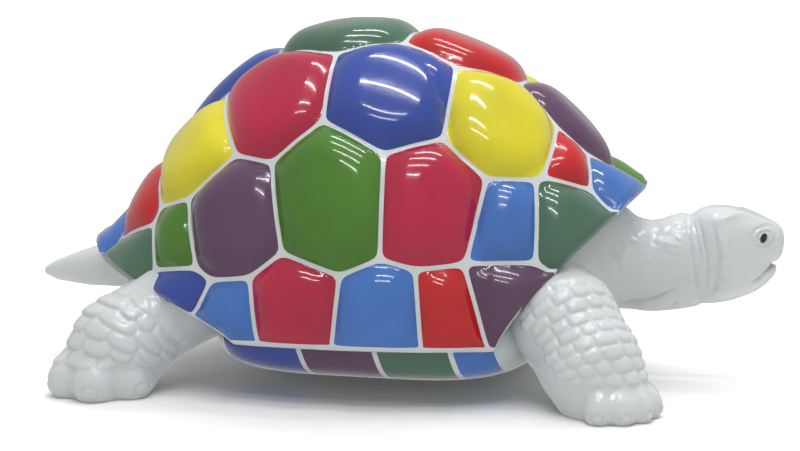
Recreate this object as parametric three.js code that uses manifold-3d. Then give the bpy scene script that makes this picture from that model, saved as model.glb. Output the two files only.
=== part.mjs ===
// A turtle sculpture, cast in one piece and stood on its four soles.
// Millimetres, +Z up, head towards +X. The origin is on the floor, under the middle of the casting.
import * as THREE from "three";
import { mergeVertices } from "three/addons/utils/BufferGeometryUtils.js";
import Module from "manifold-3d";

const wasm = await Module();
wasm.setup();

const RIGHT = -1; // the side that faces -Y
const LEFT = 1;

// The carapace: a dome over an oval rim that lifts over the limbs at both ends.
const SHELL = {
  middle: -43, // x of the crown
  front: 440, // crown to rim, towards the head
  rear: 432, // crown to rim, towards the tail
  halfWidth: 318,
  squareness: 2.25, // 2 is an ellipse in plan
  crown: 532, // height of the dome under its scutes
  sill: 83, // height of the rim along the flanks
  frontLift: { from: 217, height: 205, power: 0.78 },
  rearLift: { from: -158, height: 112, power: 0.75 },
  flare: 0.13, // share of the reach that the rim stands out at both ends
  flarePower: 7, // how late that flare starts
  frontSlope: 0.38, // flattening of the dome above the neck
  rearSlope: 0.84, // and above the tail
  lip: 12, // thickness of the rim
  rows: 25, // rings of points from the crown to the rim
  // the hidden underside, as shares of the rim's reach with a height and a count of points
  underside: [
    { share: 0, height: 120, points: 1 },
    { share: 0.4, height: 120, points: 24 },
    { share: 0.8, height: 110, points: 72 },
  ],
  // the turned-in edge under the rim, outermost last
  hem: [
    { inset: 26, rise: 2 },
    { inset: 5, rise: 0 },
  ],
};
// Each scute swells to its full height over the shoulder, and less so at the rim.
const SCUTE = { swell: 17, shoulder: 56, groove: 4.5, power: 2.2, rimShare: 0.35 };

// Scutes as [bearing from the head in degrees, reach from crown 0 to rim 1, share of extra size in mm].
// Those on the midline stand alone, the others come in pairs.
const MIDLINE_SCUTES = [
  [0, 0.66, 0],
  [0, 0.33, -66],
  [180, 0.05, -60],
  [180, 0.38, 0],
];
const TAIL_SCUTE = [142.5, 0.785, -15]; // one wide scute, given by its two halves
const PAIRED_SCUTES = [
  // costals
  [41, 0.575, 48],
  [70, 0.455, 20],
  [110, 0.475, -30],
  [128, 0.61, 40],
  // shoulder scute
  [28, 0.735, -50],
  // flank scutes
  [36.5, 0.893, 30],
  [48, 0.775, 0],
  [65, 0.67, 50],
  [86, 0.682, 52],
  [110.5, 0.745, 55],
  [121, 0.8, 22],
  // marginals
  [15.5, 0.905, -52],
  [51, 0.977, 30],
  [64, 0.945, 15],
  [75, 0.96, 25],
  [94.5, 0.943, 0],
  [107, 0.975, 20],
  [118.5, 0.957, -15],
  [137, 0.95, 52],
  [157, 0.965, 0],
];

const TORSO = { centre: [-18, 0, 165], half: [385, 262, 118] };
const PLASTRON = {
  middle: 16,
  halfLength: 250,
  halfWidth: 298,
  squareness: 4,
  bottom: 28,
  // the belly's rounding: heights above its bottom, with shares of its half width
  levels: [
    { rise: 0, share: 0.8 },
    { rise: 5, share: 0.89 },
    { rise: 16, share: 0.95 },
    { rise: 34, share: 0.99 },
    { rise: 55, share: 1 },
    { rise: 122, share: 0.93 },
  ],
  points: 56,
};

const FRONT_LEG = {
  shoulder: { at: [225, 118, 158], radius: 76 },
  elbow: { at: [300, 192, 117], radius: 72 },
  wrist: { at: [342, 234, 66], radius: 67 },
  foot: { at: [366, 246], length: 62, width: 58, height: 46 },
  toes: { count: 5, heading: -33, spread: 116, radius: 19, inset: 2 },
};
const HIND_LEG = {
  shoulder: { at: [-200, 118, 152], radius: 74 },
  elbow: { at: [-282, 214, 122], radius: 67 },
  wrist: { at: [-342, 276, 68], radius: 68 },
  foot: { at: [-362, 290], length: 70, width: 66, height: 52 },
  toes: { count: 3, heading: -82, spread: 100, radius: 27, inset: 2 },
};
// A leg runs down into its foot, a low oval pad that reaches a little past it.
const ANKLE_HEIGHT = 30;
const PAD = { height: 22, margin: 6 };
const TOE_HEIGHT = 14;
// How much of the stride each joint of a leg follows.
const FOLLOW = { shoulder: 0.1, elbow: 0.55, wrist: 0.95, foot: 1 };
// Roundness: points [across, down] of the round bodies, and [across, steps] of the long ones.
const FINENESS = {
  torso: [24, 14],
  eye: [14, 10],
  pad: [16, 8],
  toe: [8, 6],
  neck: [24, 14],
  leg: [16, 6],
  tail: [16, 8],
};
// The turtle is walking: on its left the front foot is back and the hind foot forward.
const STRIDE = { right: [0, 0], left: [-112, 66] };

// Neck and head as one run of ovals: [x, z of the axis, half width, half height].
const NECK_AND_HEAD = [
  [230, 185, 120, 105],
  [320, 184, 90, 88],
  [385, 178, 70, 74],
  [440, 181, 62, 74],
  [478, 190, 60, 74],
  [520, 198, 59, 70],
  [556, 202, 50, 58],
  [566, 206, 38, 42],
];
const MOUTH = { z: 176, corner: 545, reach: 80, height: 5, drop: 24, width: 200 };
const EYE = { at: [570, 41, 234], radius: [17, 9, 14] };

// The tail as a run of [x, z, radius].
const TAIL = [
  [-330, 165, 66],
  [-440, 150, 44],
  [-520, 137, 32],
  [-575, 130, 20],
  [-597, 128, 8],
];

const CLEARANCE_BOX = 2000;
const rad = THREE.MathUtils.degToRad;

// ---------- solids from stacks of rings ----------

// Joins two neighbouring rings, which may hold different numbers of points, with triangles.
function zip(a, b, index) {
  let i = 0;
  let j = 0;
  while (i < a.count || j < b.count) {
    const nextA = (i + 1) / a.count;
    const nextB = (j + 1) / b.count;
    const here = a.start + (i % a.count);
    const there = b.start + (j % b.count);
    if (j >= b.count || (i < a.count && nextA <= nextB)) {
      if (a.count > 1) index.push(here, there, a.start + ((i + 1) % a.count));
      i += 1;
    } else {
      if (b.count > 1) index.push(here, there, b.start + ((j + 1) % b.count));
      j += 1;
    }
  }
}

// A closed body from rings of points, turning anticlockwise seen from the last ring.
// The first and last rings are closed by a point in their middle.
function ringBody(rings) {
  const middle = (ring) =>
    ring.reduce((sum, p) => sum.add(p), new THREE.Vector3()).divideScalar(ring.length);
  const first = rings[0];
  const last = rings[rings.length - 1];
  const all = [
    ...(first.length > 1 ? [[middle(first)]] : []),
    ...rings,
    ...(last.length > 1 ? [[middle(last)]] : []),
  ];
  const points = all.flat();
  const index = [];
  let start = 0;
  const spans = all.map((ring) => {
    const span = { start, count: ring.length };
    start += ring.length;
    return span;
  });
  spans.slice(1).forEach((span, i) => zip(span, spans[i], index));
  const geometry = new THREE.BufferGeometry().setFromPoints(points);
  return geometry.setIndex(index);
}

function toSolid(geometry) {
  const bare = geometry.clone();
  bare.deleteAttribute("normal");
  bare.deleteAttribute("uv");
  const merged = mergeVertices(bare, 1e-4);
  const made = new wasm.Manifold(
    new wasm.Mesh({
      numProp: 3,
      vertProperties: new Float32Array(merged.attributes.position.array),
      triVerts: new Uint32Array(merged.index.array),
    }),
  );
  if (made.volume() <= 0) throw new Error("a body is inside out");
  return made;
}

// Leaves out any hair-thin pocket shut in where three bodies meet.
function withoutPockets(solid) {
  const larger = (a, b) => (b.volume() > a.volume() ? b : a);
  return solid.decompose().reduce(larger);
}

function toGeometry(solid) {
  const mesh = solid.getMesh();
  const position = new THREE.BufferAttribute(new Float32Array(mesh.vertProperties), 3);
  const geometry = new THREE.BufferGeometry().setAttribute("position", position);
  geometry.setIndex(new THREE.BufferAttribute(new Uint32Array(mesh.triVerts), 1));
  geometry.computeVertexNormals();
  return geometry;
}

// ---------- carapace ----------

// The rim's point at a bearing, in plan.
function rimAt(bearing) {
  const c = Math.cos(bearing);
  const s = Math.sin(bearing);
  const n = SHELL.squareness;
  const k = (Math.abs(c) ** n + Math.abs(s) ** n) ** (-1 / n);
  const reach = c > 0 ? SHELL.front : SHELL.rear;
  return [SHELL.middle + reach * k * c, SHELL.halfWidth * k * s];
}

// The rim's height above the floor at a distance along the body.
function rimHeight(x) {
  const { frontLift, rearLift, middle, front, rear, sill } = SHELL;
  const ahead = Math.max(0, (x - frontLift.from) / (middle + front - frontLift.from));
  const behind = Math.max(0, (rearLift.from - x) / (rearLift.from - (middle - rear)));
  return (
    sill +
    frontLift.height * ahead ** frontLift.power +
    rearLift.height * behind ** rearLift.power
  );
}

// A point of the smooth dome, at a bearing in radians and a reach from crown 0 to rim 1.
function domePoint(bearing, reach) {
  const c = Math.cos(bearing);
  const [rimX, rimY] = rimAt(bearing);
  const angle = (Math.min(reach, 1) * Math.PI) / 2;
  const flare = SHELL.flare * c * c;
  const out = (1 - flare) * Math.sin(angle) + flare * reach ** SHELL.flarePower;
  const slope = c > 0 ? SHELL.frontSlope : SHELL.rearSlope;
  const up = Math.max(0, Math.cos(angle)) ** (1 + slope * c * c);
  const foot = rimHeight(rimX);
  return new THREE.Vector3(
    SHELL.middle + (rimX - SHELL.middle) * out,
    rimY * out,
    foot + (SHELL.crown - foot) * up,
  );
}

function domeNormal(bearing, reach) {
  const step = 1e-3;
  const r = THREE.MathUtils.clamp(reach, 0.01, 1 - step);
  const along = domePoint(bearing, r + step).sub(domePoint(bearing, r - step));
  const around = domePoint(bearing + step, r).sub(domePoint(bearing - step, r));
  return around.cross(along).normalize().negate();
}

function scuteSeeds() {
  const seeds = [];
  let scute = 0;
  const seed = (bearing, reach, size) =>
    seeds.push({
      at: domePoint(rad(bearing), reach),
      size: Math.sign(size) * size * size,
      scute,
    });
  for (const row of MIDLINE_SCUTES) {
    seed(...row);
    scute += 1;
  }
  for (const side of [RIGHT, LEFT]) seed(side * TAIL_SCUTE[0], TAIL_SCUTE[1], TAIL_SCUTE[2]);
  scute += 1;
  for (const [bearing, reach, size] of PAIRED_SCUTES)
    for (const side of [RIGHT, LEFT]) {
      seed(side * bearing, reach, size);
      scute += 1;
    }
  return seeds;
}
const SEEDS = scuteSeeds();

// How far a point is inside its scute: its distance to the nearest neighbour's border.
function insideScute(point) {
  const power = (s) => s.at.distanceToSquared(point) - s.size;
  const own = SEEDS.reduce((best, s) => (power(s) < power(best) ? s : best));
  let nearest = Infinity;
  for (const other of SEEDS)
    if (other.scute !== own.scute) {
      const border = (power(other) - power(own)) / (2 * other.at.distanceTo(own.at));
      nearest = Math.min(nearest, border);
    }
  return nearest;
}

function scuteSwell(point) {
  const inside = THREE.MathUtils.clamp(
    (insideScute(point) - SCUTE.groove) / SCUTE.shoulder,
    0,
    1,
  );
  return SCUTE.swell * (1 - (1 - inside) ** SCUTE.power);
}

function carapace() {
  const rings = [];
  const pointsAround = (row) => Math.max(1, 4 * row);
  const bearings = (count) => [...Array(count)].map((_, i) => (2 * Math.PI * i) / count);
  for (const { share, height, points } of SHELL.underside)
    rings.push(
      bearings(points).map((b) => {
        const [x, y] = rimAt(b);
        const low = Math.min(height, rimHeight(x));
        return new THREE.Vector3(SHELL.middle + (x - SHELL.middle) * share, y * share, low);
      }),
    );
  for (const { inset, rise } of SHELL.hem)
    rings.push(
      bearings(pointsAround(SHELL.rows)).map((b) => {
        const rim = domePoint(b, 1);
        const inward = new THREE.Vector3(SHELL.middle - rim.x, -rim.y, 0).setLength(inset);
        return rim.add(inward).add(new THREE.Vector3(0, 0, rise));
      }),
    );
  // the dome, from the rim up to the crown
  for (let row = SHELL.rows; row >= 0; row -= 1) {
    const onRim = row === SHELL.rows;
    rings.push(
      bearings(pointsAround(row)).map((b) => {
        const reach = row / SHELL.rows;
        const p = domePoint(b, reach);
        const swell = scuteSwell(p) * (onRim ? SCUTE.rimShare : 1);
        p.addScaledVector(domeNormal(b, reach), swell);
        return p.add(new THREE.Vector3(0, 0, onRim ? SHELL.lip : 0));
      }),
    );
  }
  return toSolid(ringBody(rings));
}

// ---------- body ----------

function ellipsoid(centre, half, [across, down]) {
  const geometry = new THREE.SphereGeometry(1, across, down).rotateX(Math.PI / 2);
  geometry.scale(...half).translate(...centre);
  return toSolid(geometry);
}

function plastron() {
  const { middle, halfLength, halfWidth, squareness: n, bottom, levels, points } = PLASTRON;
  const ring = ({ rise, share }) =>
    [...Array(points)].map((_, i) => {
      const a = (2 * Math.PI * i) / points;
      const k = (Math.abs(Math.cos(a)) ** n + Math.abs(Math.sin(a)) ** n) ** (-1 / n);
      const inset = (1 - share) * halfWidth;
      const x = middle + (halfLength - inset) * k * Math.cos(a);
      return new THREE.Vector3(x, (halfWidth - inset) * k * Math.sin(a), bottom + rise);
    });
  return toSolid(ringBody(levels.map(ring)));
}

// A limb with round ends: ovals [half width, half height] strung on a smooth curve.
function limb(stations, [across, steps], reference = new THREE.Vector3(0, 0, 1)) {
  const spine = new THREE.CatmullRomCurve3(stations.map((s) => new THREE.Vector3(...s.at)));
  const sizes = new THREE.CatmullRomCurve3(
    stations.map((s) => new THREE.Vector3(s.half[0], s.half[1], 0)),
  );
  const ring = (u, share, beyond) => {
    const tangent = spine.getTangent(u);
    const side = tangent.clone().cross(reference).normalize();
    const up = side.clone().cross(tangent);
    const size = sizes.getPoint(u);
    const centre = spine.getPoint(u).addScaledVector(tangent, beyond * Math.min(size.x, size.y));
    return [...Array(across)].map((_, i) => {
      const a = (2 * Math.PI * i) / across;
      return centre
        .clone()
        .addScaledVector(side, share * size.x * Math.cos(a))
        .addScaledVector(up, share * size.y * Math.sin(a));
    });
  };
  const caps = [20, 50];
  const rings = [
    ...caps.map((a) => ring(0, Math.sin(rad(a)), -Math.cos(rad(a)))),
    ...[...Array(steps + 1)].map((_, i) => ring(i / steps, 1, 0)),
    ...caps.reverse().map((a) => ring(1, Math.sin(rad(a)), Math.cos(rad(a)))),
  ];
  return toSolid(ringBody(rings.map((r) => r.reverse())));
}

function leg(design, side, stride) {
  const placed = (at, share) => [at[0] + stride * share, side * at[1], at[2]];
  const joint = (station, share) => ({
    at: placed(station.at, share),
    half: [station.radius, station.radius],
  });
  const { foot, toes } = design;
  const [x, y] = placed([...foot.at, 0], FOLLOW.foot);
  const half = [foot.length + PAD.margin, foot.width + PAD.margin, foot.height];
  const bodies = [
    limb(
      [
        joint(design.shoulder, FOLLOW.shoulder),
        joint(design.elbow, FOLLOW.elbow),
        joint(design.wrist, FOLLOW.wrist),
        { at: [x, y, ANKLE_HEIGHT], half: [foot.length, foot.length] },
      ],
      FINENESS.leg,
      new THREE.Vector3(0, 1, 0),
    ),
    ellipsoid([x, y, PAD.height], half, FINENESS.pad),
  ];
  for (let i = 0; i < toes.count; i += 1) {
    const turn = toes.heading + (i / (toes.count - 1) - 0.5) * toes.spread;
    const a = rad(turn) * (side === RIGHT ? 1 : -1);
    const dx = Math.cos(a) * (foot.length - toes.inset);
    const dy = Math.sin(a) * (foot.width - toes.inset);
    const round = [toes.radius, toes.radius, toes.radius];
    bodies.push(ellipsoid([x + dx, y + dy, TOE_HEIGHT], round, FINENESS.toe));
  }
  return bodies;
}

function head() {
  const skull = limb(
    NECK_AND_HEAD.map(([x, z, width, height]) => ({ at: [x, 0, z], half: [width, height] })),
    FINENESS.neck,
  );
  const eyes = [RIGHT, LEFT].map((side) =>
    ellipsoid([EYE.at[0], side * EYE.at[1], EYE.at[2]], EYE.radius, FINENESS.eye),
  );
  return [skull, ...eyes];
}

// The slot between the jaws, cut from the front of the beak back to the corners of the mouth.
function mouth() {
  const outline = new THREE.Shape();
  outline.moveTo(MOUTH.corner, MOUTH.z - MOUTH.drop);
  outline.lineTo(MOUTH.corner + MOUTH.reach, MOUTH.z + MOUTH.height);
  outline.lineTo(MOUTH.corner + MOUTH.reach, MOUTH.z - MOUTH.height);
  outline.closePath();
  const slot = new THREE.ExtrudeGeometry(outline, { depth: MOUTH.width, bevelEnabled: false });
  slot.rotateX(Math.PI / 2).translate(0, MOUTH.width / 2, 0);
  return toSolid(slot);
}

function tail() {
  return limb(
    TAIL.map(([x, z, radius]) => ({ at: [x, 0, z], half: [radius, radius] })),
    FINENESS.tail,
  );
}

function turtle() {
  let body = carapace();
  const bodies = [
    ellipsoid(TORSO.centre, TORSO.half, FINENESS.torso),
    plastron(),
    ...head(),
    tail(),
    ...leg(FRONT_LEG, RIGHT, STRIDE.right[0]),
    ...leg(HIND_LEG, RIGHT, STRIDE.right[1]),
    ...leg(FRONT_LEG, LEFT, STRIDE.left[0]),
    ...leg(HIND_LEG, LEFT, STRIDE.left[1]),
  ];
  for (const part of bodies) body = body.add(part);
  const below = new THREE.BoxGeometry(CLEARANCE_BOX, CLEARANCE_BOX, CLEARANCE_BOX);
  below.translate(0, 0, -CLEARANCE_BOX / 2);
  return withoutPockets(body.subtract(mouth()).subtract(toSolid(below)));
}

const enamel = new THREE.MeshStandardMaterial({ color: 0xe4e6e4, roughness: 0.12, metalness: 0 });
const sculpture = new THREE.Mesh(toGeometry(turtle()), enamel);
sculpture.name = "turtle";

const group = new THREE.Group();
group.add(sculpture);
export default group;
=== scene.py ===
"""A glossy cast turtle sculpture with a patchwork shell, stood on a plain pale studio floor."""

import logging
import math
from collections.abc import Callable
from dataclasses import dataclass, field
from enum import Enum

import bpy
import numpy as np
import openvdb
from mathutils import Matrix, Vector
from mathutils.kdtree import KDTree


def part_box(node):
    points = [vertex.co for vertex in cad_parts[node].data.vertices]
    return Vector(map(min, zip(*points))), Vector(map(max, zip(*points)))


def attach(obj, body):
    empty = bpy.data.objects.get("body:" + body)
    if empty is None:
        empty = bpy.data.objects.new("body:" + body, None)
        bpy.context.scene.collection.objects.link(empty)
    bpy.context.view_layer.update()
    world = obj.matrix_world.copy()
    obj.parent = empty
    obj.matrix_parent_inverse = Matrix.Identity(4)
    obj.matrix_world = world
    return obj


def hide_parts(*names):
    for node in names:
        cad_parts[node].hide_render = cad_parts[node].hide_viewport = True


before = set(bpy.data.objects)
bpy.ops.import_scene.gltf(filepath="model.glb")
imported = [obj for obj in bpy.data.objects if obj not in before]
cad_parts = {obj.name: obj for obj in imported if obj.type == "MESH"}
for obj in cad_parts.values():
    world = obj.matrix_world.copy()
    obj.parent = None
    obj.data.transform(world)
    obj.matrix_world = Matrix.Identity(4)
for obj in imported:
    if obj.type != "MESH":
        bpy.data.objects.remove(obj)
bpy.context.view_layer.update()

Array = np.ndarray
Place = tuple[float, float, float]
Table = tuple[tuple[float, ...], ...]
NODE = "turtle"
LENGTH = 1.2092  # from beak to tail, as modelled here
RIGHT = -1
LEFT = 1

log = logging.getLogger("turtle")


# ---------- small tools for shapes ----------


def smoothstep(low: float, high: float, value: Array) -> Array:
    """Returns 0 below low, 1 above high and an even S between them."""
    share = np.clip((value - low) / (high - low), 0.0, 1.0)
    return share * share * (3.0 - 2.0 * share)


def blend(a: Array, b: Array, width: float) -> Array:
    """Returns the union of two distance fields, with a fillet about width across."""
    share = np.clip(0.5 + 0.5 * (b - a) / width, 0.0, 1.0)
    return b + (a - b) * share - width * share * (1.0 - share)


def unit(vectors: Array) -> Array:
    """Returns vectors of the same directions and length one."""
    lengths = np.linalg.norm(vectors, axis=-1, keepdims=True)
    return vectors / np.maximum(lengths, 1e-12)


def round_cone(points: Array, a: Array, b: Array, radius_a: float, radius_b: float) -> Array:
    """Measures the distance to a cone with round ends.

    Args:
        points: Where to measure, one row each.
        a: Middle of the first end.
        b: Middle of the second end.
        radius_a: Radius of the first end.
        radius_b: Radius of the second end.

    Returns:
        Distances, negative inside.
    """
    axis = b - a
    length2 = float(axis @ axis)
    shrink = radius_a - radius_b
    slant2 = length2 - shrink * shrink
    off = points - a
    along = off @ axis
    beyond = along - length2
    across = off * length2 - along[:, None] * axis
    x2 = np.einsum("ij,ij->i", across, across)
    y2 = along * along * length2
    z2 = beyond * beyond * length2
    k = math.copysign(1.0, shrink) * shrink * shrink * x2
    side = (np.sqrt(x2 * slant2 / length2) + along * shrink) / length2 - radius_a
    end_b = np.sqrt(x2 + z2) / length2 - radius_b
    end_a = np.sqrt(x2 + y2) / length2 - radius_a
    made = np.where(np.sign(along) * slant2 * y2 < k, end_a, side)
    return np.where(np.sign(beyond) * slant2 * z2 > k, end_b, made)


def ellipsoid(points: Array, middle: Array, half: Array) -> Array:
    """Measures about how far points lie from an upright ellipsoid.

    Args:
        points: Where to measure, one row each.
        middle: The ellipsoid's middle.
        half: Half its length, width and height.

    Returns:
        Distances, negative inside.
    """
    off = points - middle
    reach = np.linalg.norm(off / half, axis=1)
    slope = np.linalg.norm(off / (half * half), axis=1)
    return reach * (reach - 1.0) / np.maximum(slope, 1e-9)


def path_distance(points: Array, path: Array) -> tuple[Array, Array]:
    """Measures how far points are from a run of straight stretches.

    Args:
        points: Where to measure, in as many dimensions as the path has.
        path: The corners of the path, in order.

    Returns:
        The distances, and how far along the path the nearest place is, from 0 to 1.
    """
    starts = path[:-1]
    steps = path[1:] - starts
    lengths = np.linalg.norm(steps, axis=1)
    before = np.concatenate([[0.0], np.cumsum(lengths)])
    best = np.full(len(points), np.inf)
    share = np.zeros(len(points))
    for start, step, length, done in zip(starts, steps, lengths, before):
        off = points - start
        along = np.clip(off @ step / (length * length), 0.0, 1.0)
        gap = np.linalg.norm(off - along[:, None] * step, axis=1)
        nearer = gap < best
        best = np.where(nearer, gap, best)
        share = np.where(nearer, (done + along * length) / before[-1], share)
    return best, share


def smooth_curve(corners: Array, steps: int, closed: bool = False) -> Array:
    """Runs a smooth curve through corners.

    Args:
        corners: The places that the curve passes, one row each.
        steps: Points made for each stretch.
        closed: True joins the last corner to the first.

    Returns:
        The curve's points.
    """
    count = len(corners)
    stretches = count if closed else count - 1
    t = (np.arange(steps) / steps)[:, None]
    made = []
    for i in range(stretches):
        picks = [i - 1, i, i + 1, i + 2]
        if closed:
            p = [corners[k % count] for k in picks]
        else:
            p = [corners[min(max(k, 0), count - 1)] for k in picks]
        made.append(
            0.5 * (2 * p[1] + (p[2] - p[0]) * t
                   + (2 * p[0] - 5 * p[1] + 4 * p[2] - p[3]) * t**2
                   + (3 * p[1] - p[0] - 3 * p[2] + p[3]) * t**3)
        )
    if not closed:
        made.append(corners[-1:])
    return np.vstack(made)


def bearings(count: int) -> Array:
    """Returns bearings evenly round the body."""
    return 2 * math.pi * np.arange(count) / count


# ---------- paint ----------


class Paint(Enum):
    """The enamels, each by its red, green and blue as linear light."""

    WHITE = (0.595, 0.625, 0.635)
    CRIMSON = (0.400, 0.006, 0.040)
    RED = (0.480, 0.006, 0.008)
    YELLOW = (0.640, 0.570, 0.012)
    GREEN = (0.055, 0.175, 0.010)
    SPRUCE = (0.055, 0.130, 0.080)
    SKY = (0.045, 0.145, 0.450)
    BLUE = (0.022, 0.055, 0.300)
    PURPLE = (0.095, 0.042, 0.092)


PAINTS = list(Paint)


@dataclass
class Form:
    """A closed mesh of triangles with what its paint needs.

    Attributes:
        points: Corners, one row each.
        faces: Triangles, three corner numbers each.
        normals: Smooth surface directions at the corners.
        pupil: How far each corner lies inside the dark of an eye.
        paint: Each triangle's enamel, by its place in PAINTS.
    """

    points: Array
    faces: Array
    normals: Array
    pupil: Array
    paint: Array


def plain_form(points: Array, faces: Array, paint: Array | None = None) -> Form:
    """Makes a form that has no eyes.

    Args:
        points: Corners, one row each.
        faces: Triangles.
        paint: Each triangle's enamel; left out, all are white.

    Returns:
        The form, with normals worked out from its triangles.
    """
    return Form(
        points=points,
        faces=faces,
        normals=mesh_normals(points, faces),
        pupil=np.full(len(points), -1.0),
        paint=np.zeros(len(faces), int) if paint is None else paint,
    )


def rolled(faces: Array, turn: Array) -> tuple[Array, Array, Array]:
    """Returns the corners of triangles, each started from a given one."""
    rows = np.arange(len(faces))
    return tuple(faces[rows, (turn + k) % 3] for k in range(3))


def split_triangles(faces: Array, first: int, cut: Callable[[Array, Array], Array],
                    ) -> tuple[Array, Array, Array]:
    """Splits triangles at a new corner on each edge that is to be cut.

    Args:
        faces: Triangles.
        first: Number of the first new corner.
        cut: Says which edges, between two rows of corners, are cut.

    Returns:
        The triangles, for each an old corner on its own side of the cut, and the cut edges
        in the order of their new corners.
    """
    sides = np.stack([cut(faces[:, k], faces[:, (k + 1) % 3]) for k in range(3)], axis=1)
    count = sides.sum(axis=1)
    a1, b1, c1 = rolled(faces[count == 1], sides[count == 1].argmax(axis=1))
    a2, b2, c2 = rolled(faces[count == 2], sides[count == 2].argmin(axis=1) + 2)
    a3, b3, c3 = faces[count == 3].T
    ends = [(a1, b1), (a2, b2), (a2, c2), (a3, b3), (b3, c3), (c3, a3)]
    pairs = np.sort(np.concatenate([np.stack(pair, 1) for pair in ends]), axis=1)
    edges, number = np.unique(pairs, axis=0, return_inverse=True)
    spans = np.cumsum([len(pair[0]) for pair in ends])[:-1]
    ab1, ab2, ac2, ab3, bc3, ca3 = np.split(number.ravel() + first, spans)
    pieces = [
        (a1, ab1, c1, a1), (ab1, b1, c1, b1),
        (a2, ab2, ac2, a2), (ab2, b2, c2, b2), (ab2, c2, ac2, c2),
        (a3, ab3, ca3, a3), (b3, bc3, ab3, b3), (c3, ca3, bc3, c3), (ab3, bc3, ca3, a3),
    ]
    whole = faces[count == 0]
    made = np.vstack([np.column_stack([whole, whole[:, 0]])] + [np.stack(p, 1) for p in pieces])
    return made[:, :3], made[:, 3], edges


def halved(edges: Array, same: Callable[[Array, Array], Array], times: int = 9) -> Array:
    """Finds how far along each edge something changes, by halving.

    Args:
        edges: Pairs of corners.
        same: Says whether places at shares of the way along edges are like their starts.
        times: How often each edge is halved.

    Returns:
        The shares.
    """
    low, high = np.zeros(len(edges)), np.ones(len(edges))
    for _ in range(times):
        share = (low + high) / 2
        alike = same(edges, share)
        low = np.where(alike, share, low)
        high = np.where(alike, high, share)
    return (low + high) / 2


def paints_of(owner: Array, paint: Array) -> Array:
    """Returns each triangle's enamel from the corner that has its colour."""
    return np.where(owner >= 0, paint[owner], PAINTS.index(Paint.WHITE))


def mesh_normals(points: Array, faces: Array) -> Array:
    """Works out the smooth surface directions of a mesh.

    Args:
        points: Corners.
        faces: Triangles.

    Returns:
        Each corner's direction, averaged over the triangles round it by area.
    """
    a, b, c = (points[faces[:, k]] for k in range(3))
    spans = np.cross(b - a, c - a)
    total = np.zeros_like(points)
    for k in range(3):
        for axis in range(3):
            total[:, axis] += np.bincount(faces[:, k], spans[:, axis], len(points))
    return unit(total)


def zip_rings(rings: list[Array]) -> tuple[Array, Array]:
    """Joins rings of points with triangles, and closes both ends on a middle point.

    Args:
        rings: Rings that turn anticlockwise seen from the last one, in any counts.

    Returns:
        The points and the triangles.
    """
    closed = [rings[0].mean(axis=0, keepdims=True), *rings]
    if len(rings[-1]) > 1:
        closed.append(rings[-1].mean(axis=0, keepdims=True))
    starts = np.concatenate([[0], np.cumsum([len(ring) for ring in closed])])
    faces = []
    for level in range(1, len(closed)):
        m, n = len(closed[level]), len(closed[level - 1])
        here, there = starts[level], starts[level - 1]
        i = j = 0
        while i < m or j < n:
            a, b = here + i % m, there + j % n
            if j >= n or (i < m and (i + 1) * n <= (j + 1) * m):
                if m > 1:
                    faces.append((a, b, here + (i + 1) % m))
                i += 1
            else:
                if n > 1:
                    faces.append((a, b, there + (j + 1) % n))
                j += 1
    return np.vstack(closed), np.array(faces)


# ---------- shell ----------


@dataclass(frozen=True)
class Dome:
    """The smooth dome under the scutes, over an oval rim that lifts over the limbs."""

    middle: float = -0.043
    front: float = 0.440
    rear: float = 0.432
    half_width: float = 0.318
    squareness: float = 2.25
    crown: float = 0.532
    sill: float = 0.083
    front_lift_from: float = 0.217
    front_lift: float = 0.205
    front_lift_power: float = 0.78
    rear_lift_from: float = -0.158
    rear_lift: float = 0.112
    rear_lift_power: float = 0.75
    flare: float = 0.13
    flare_power: float = 7.0
    front_slope: float = 0.38
    rear_slope: float = 0.84

    def rim(self, bearing: Array) -> tuple[Array, Array]:
        """Finds the rim's place in plan.

        Args:
            bearing: Bearings round the crown, from the head.

        Returns:
            The places along and across the body.
        """
        c, s = np.cos(bearing), np.sin(bearing)
        n = self.squareness
        k = (np.abs(c) ** n + np.abs(s) ** n) ** (-1.0 / n)
        reach = np.where(c > 0, self.front, self.rear)
        return self.middle + reach * k * c, self.half_width * k * s

    def rim_height(self, x: Array) -> Array:
        """Works out how high the rim runs, which lifts over the limbs.

        Args:
            x: Places along the body.

        Returns:
            Heights above the floor.
        """
        front_end = self.middle + self.front
        rear_end = self.middle - self.rear
        ahead = (x - self.front_lift_from) / (front_end - self.front_lift_from)
        behind = (self.rear_lift_from - x) / (self.rear_lift_from - rear_end)
        ahead = np.clip(ahead, 0.0, None) ** self.front_lift_power
        behind = np.clip(behind, 0.0, None) ** self.rear_lift_power
        return self.sill + self.front_lift * ahead + self.rear_lift * behind

    def point(self, bearing: Array, reach: Array) -> Array:
        """Finds places on the dome.

        Args:
            bearing: Bearings round the crown, from the head.
            reach: From 0 at the crown to 1 at the rim.

        Returns:
            The places, one row each.
        """
        c = np.cos(bearing)
        rim_x, rim_y = self.rim(bearing)
        angle = np.clip(reach, 0.0, 1.0) * math.pi / 2
        flare = self.flare * c * c
        out = (1 - flare) * np.sin(angle) + flare * reach**self.flare_power
        slope = np.where(c > 0, self.front_slope, self.rear_slope)
        up = np.clip(np.cos(angle), 0.0, None) ** (1 + slope * c * c)
        foot = self.rim_height(rim_x)
        x = self.middle + (rim_x - self.middle) * out
        return np.stack([x, rim_y * out, foot + (self.crown - foot) * up], axis=-1)

    def normal(self, bearing: Array, reach: Array) -> Array:
        """Works out the dome's outward direction.

        Args:
            bearing: Bearings round the crown, from the head.
            reach: From 0 at the crown to 1 at the rim.

        Returns:
            The directions, one row each.
        """
        step = 0.001
        r = np.clip(reach, 10 * step, 1 - step)
        along = self.point(bearing, r + step) - self.point(bearing, r - step)
        around = self.point(bearing + step, r) - self.point(bearing - step, r)
        return unit(np.cross(along, around))


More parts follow.
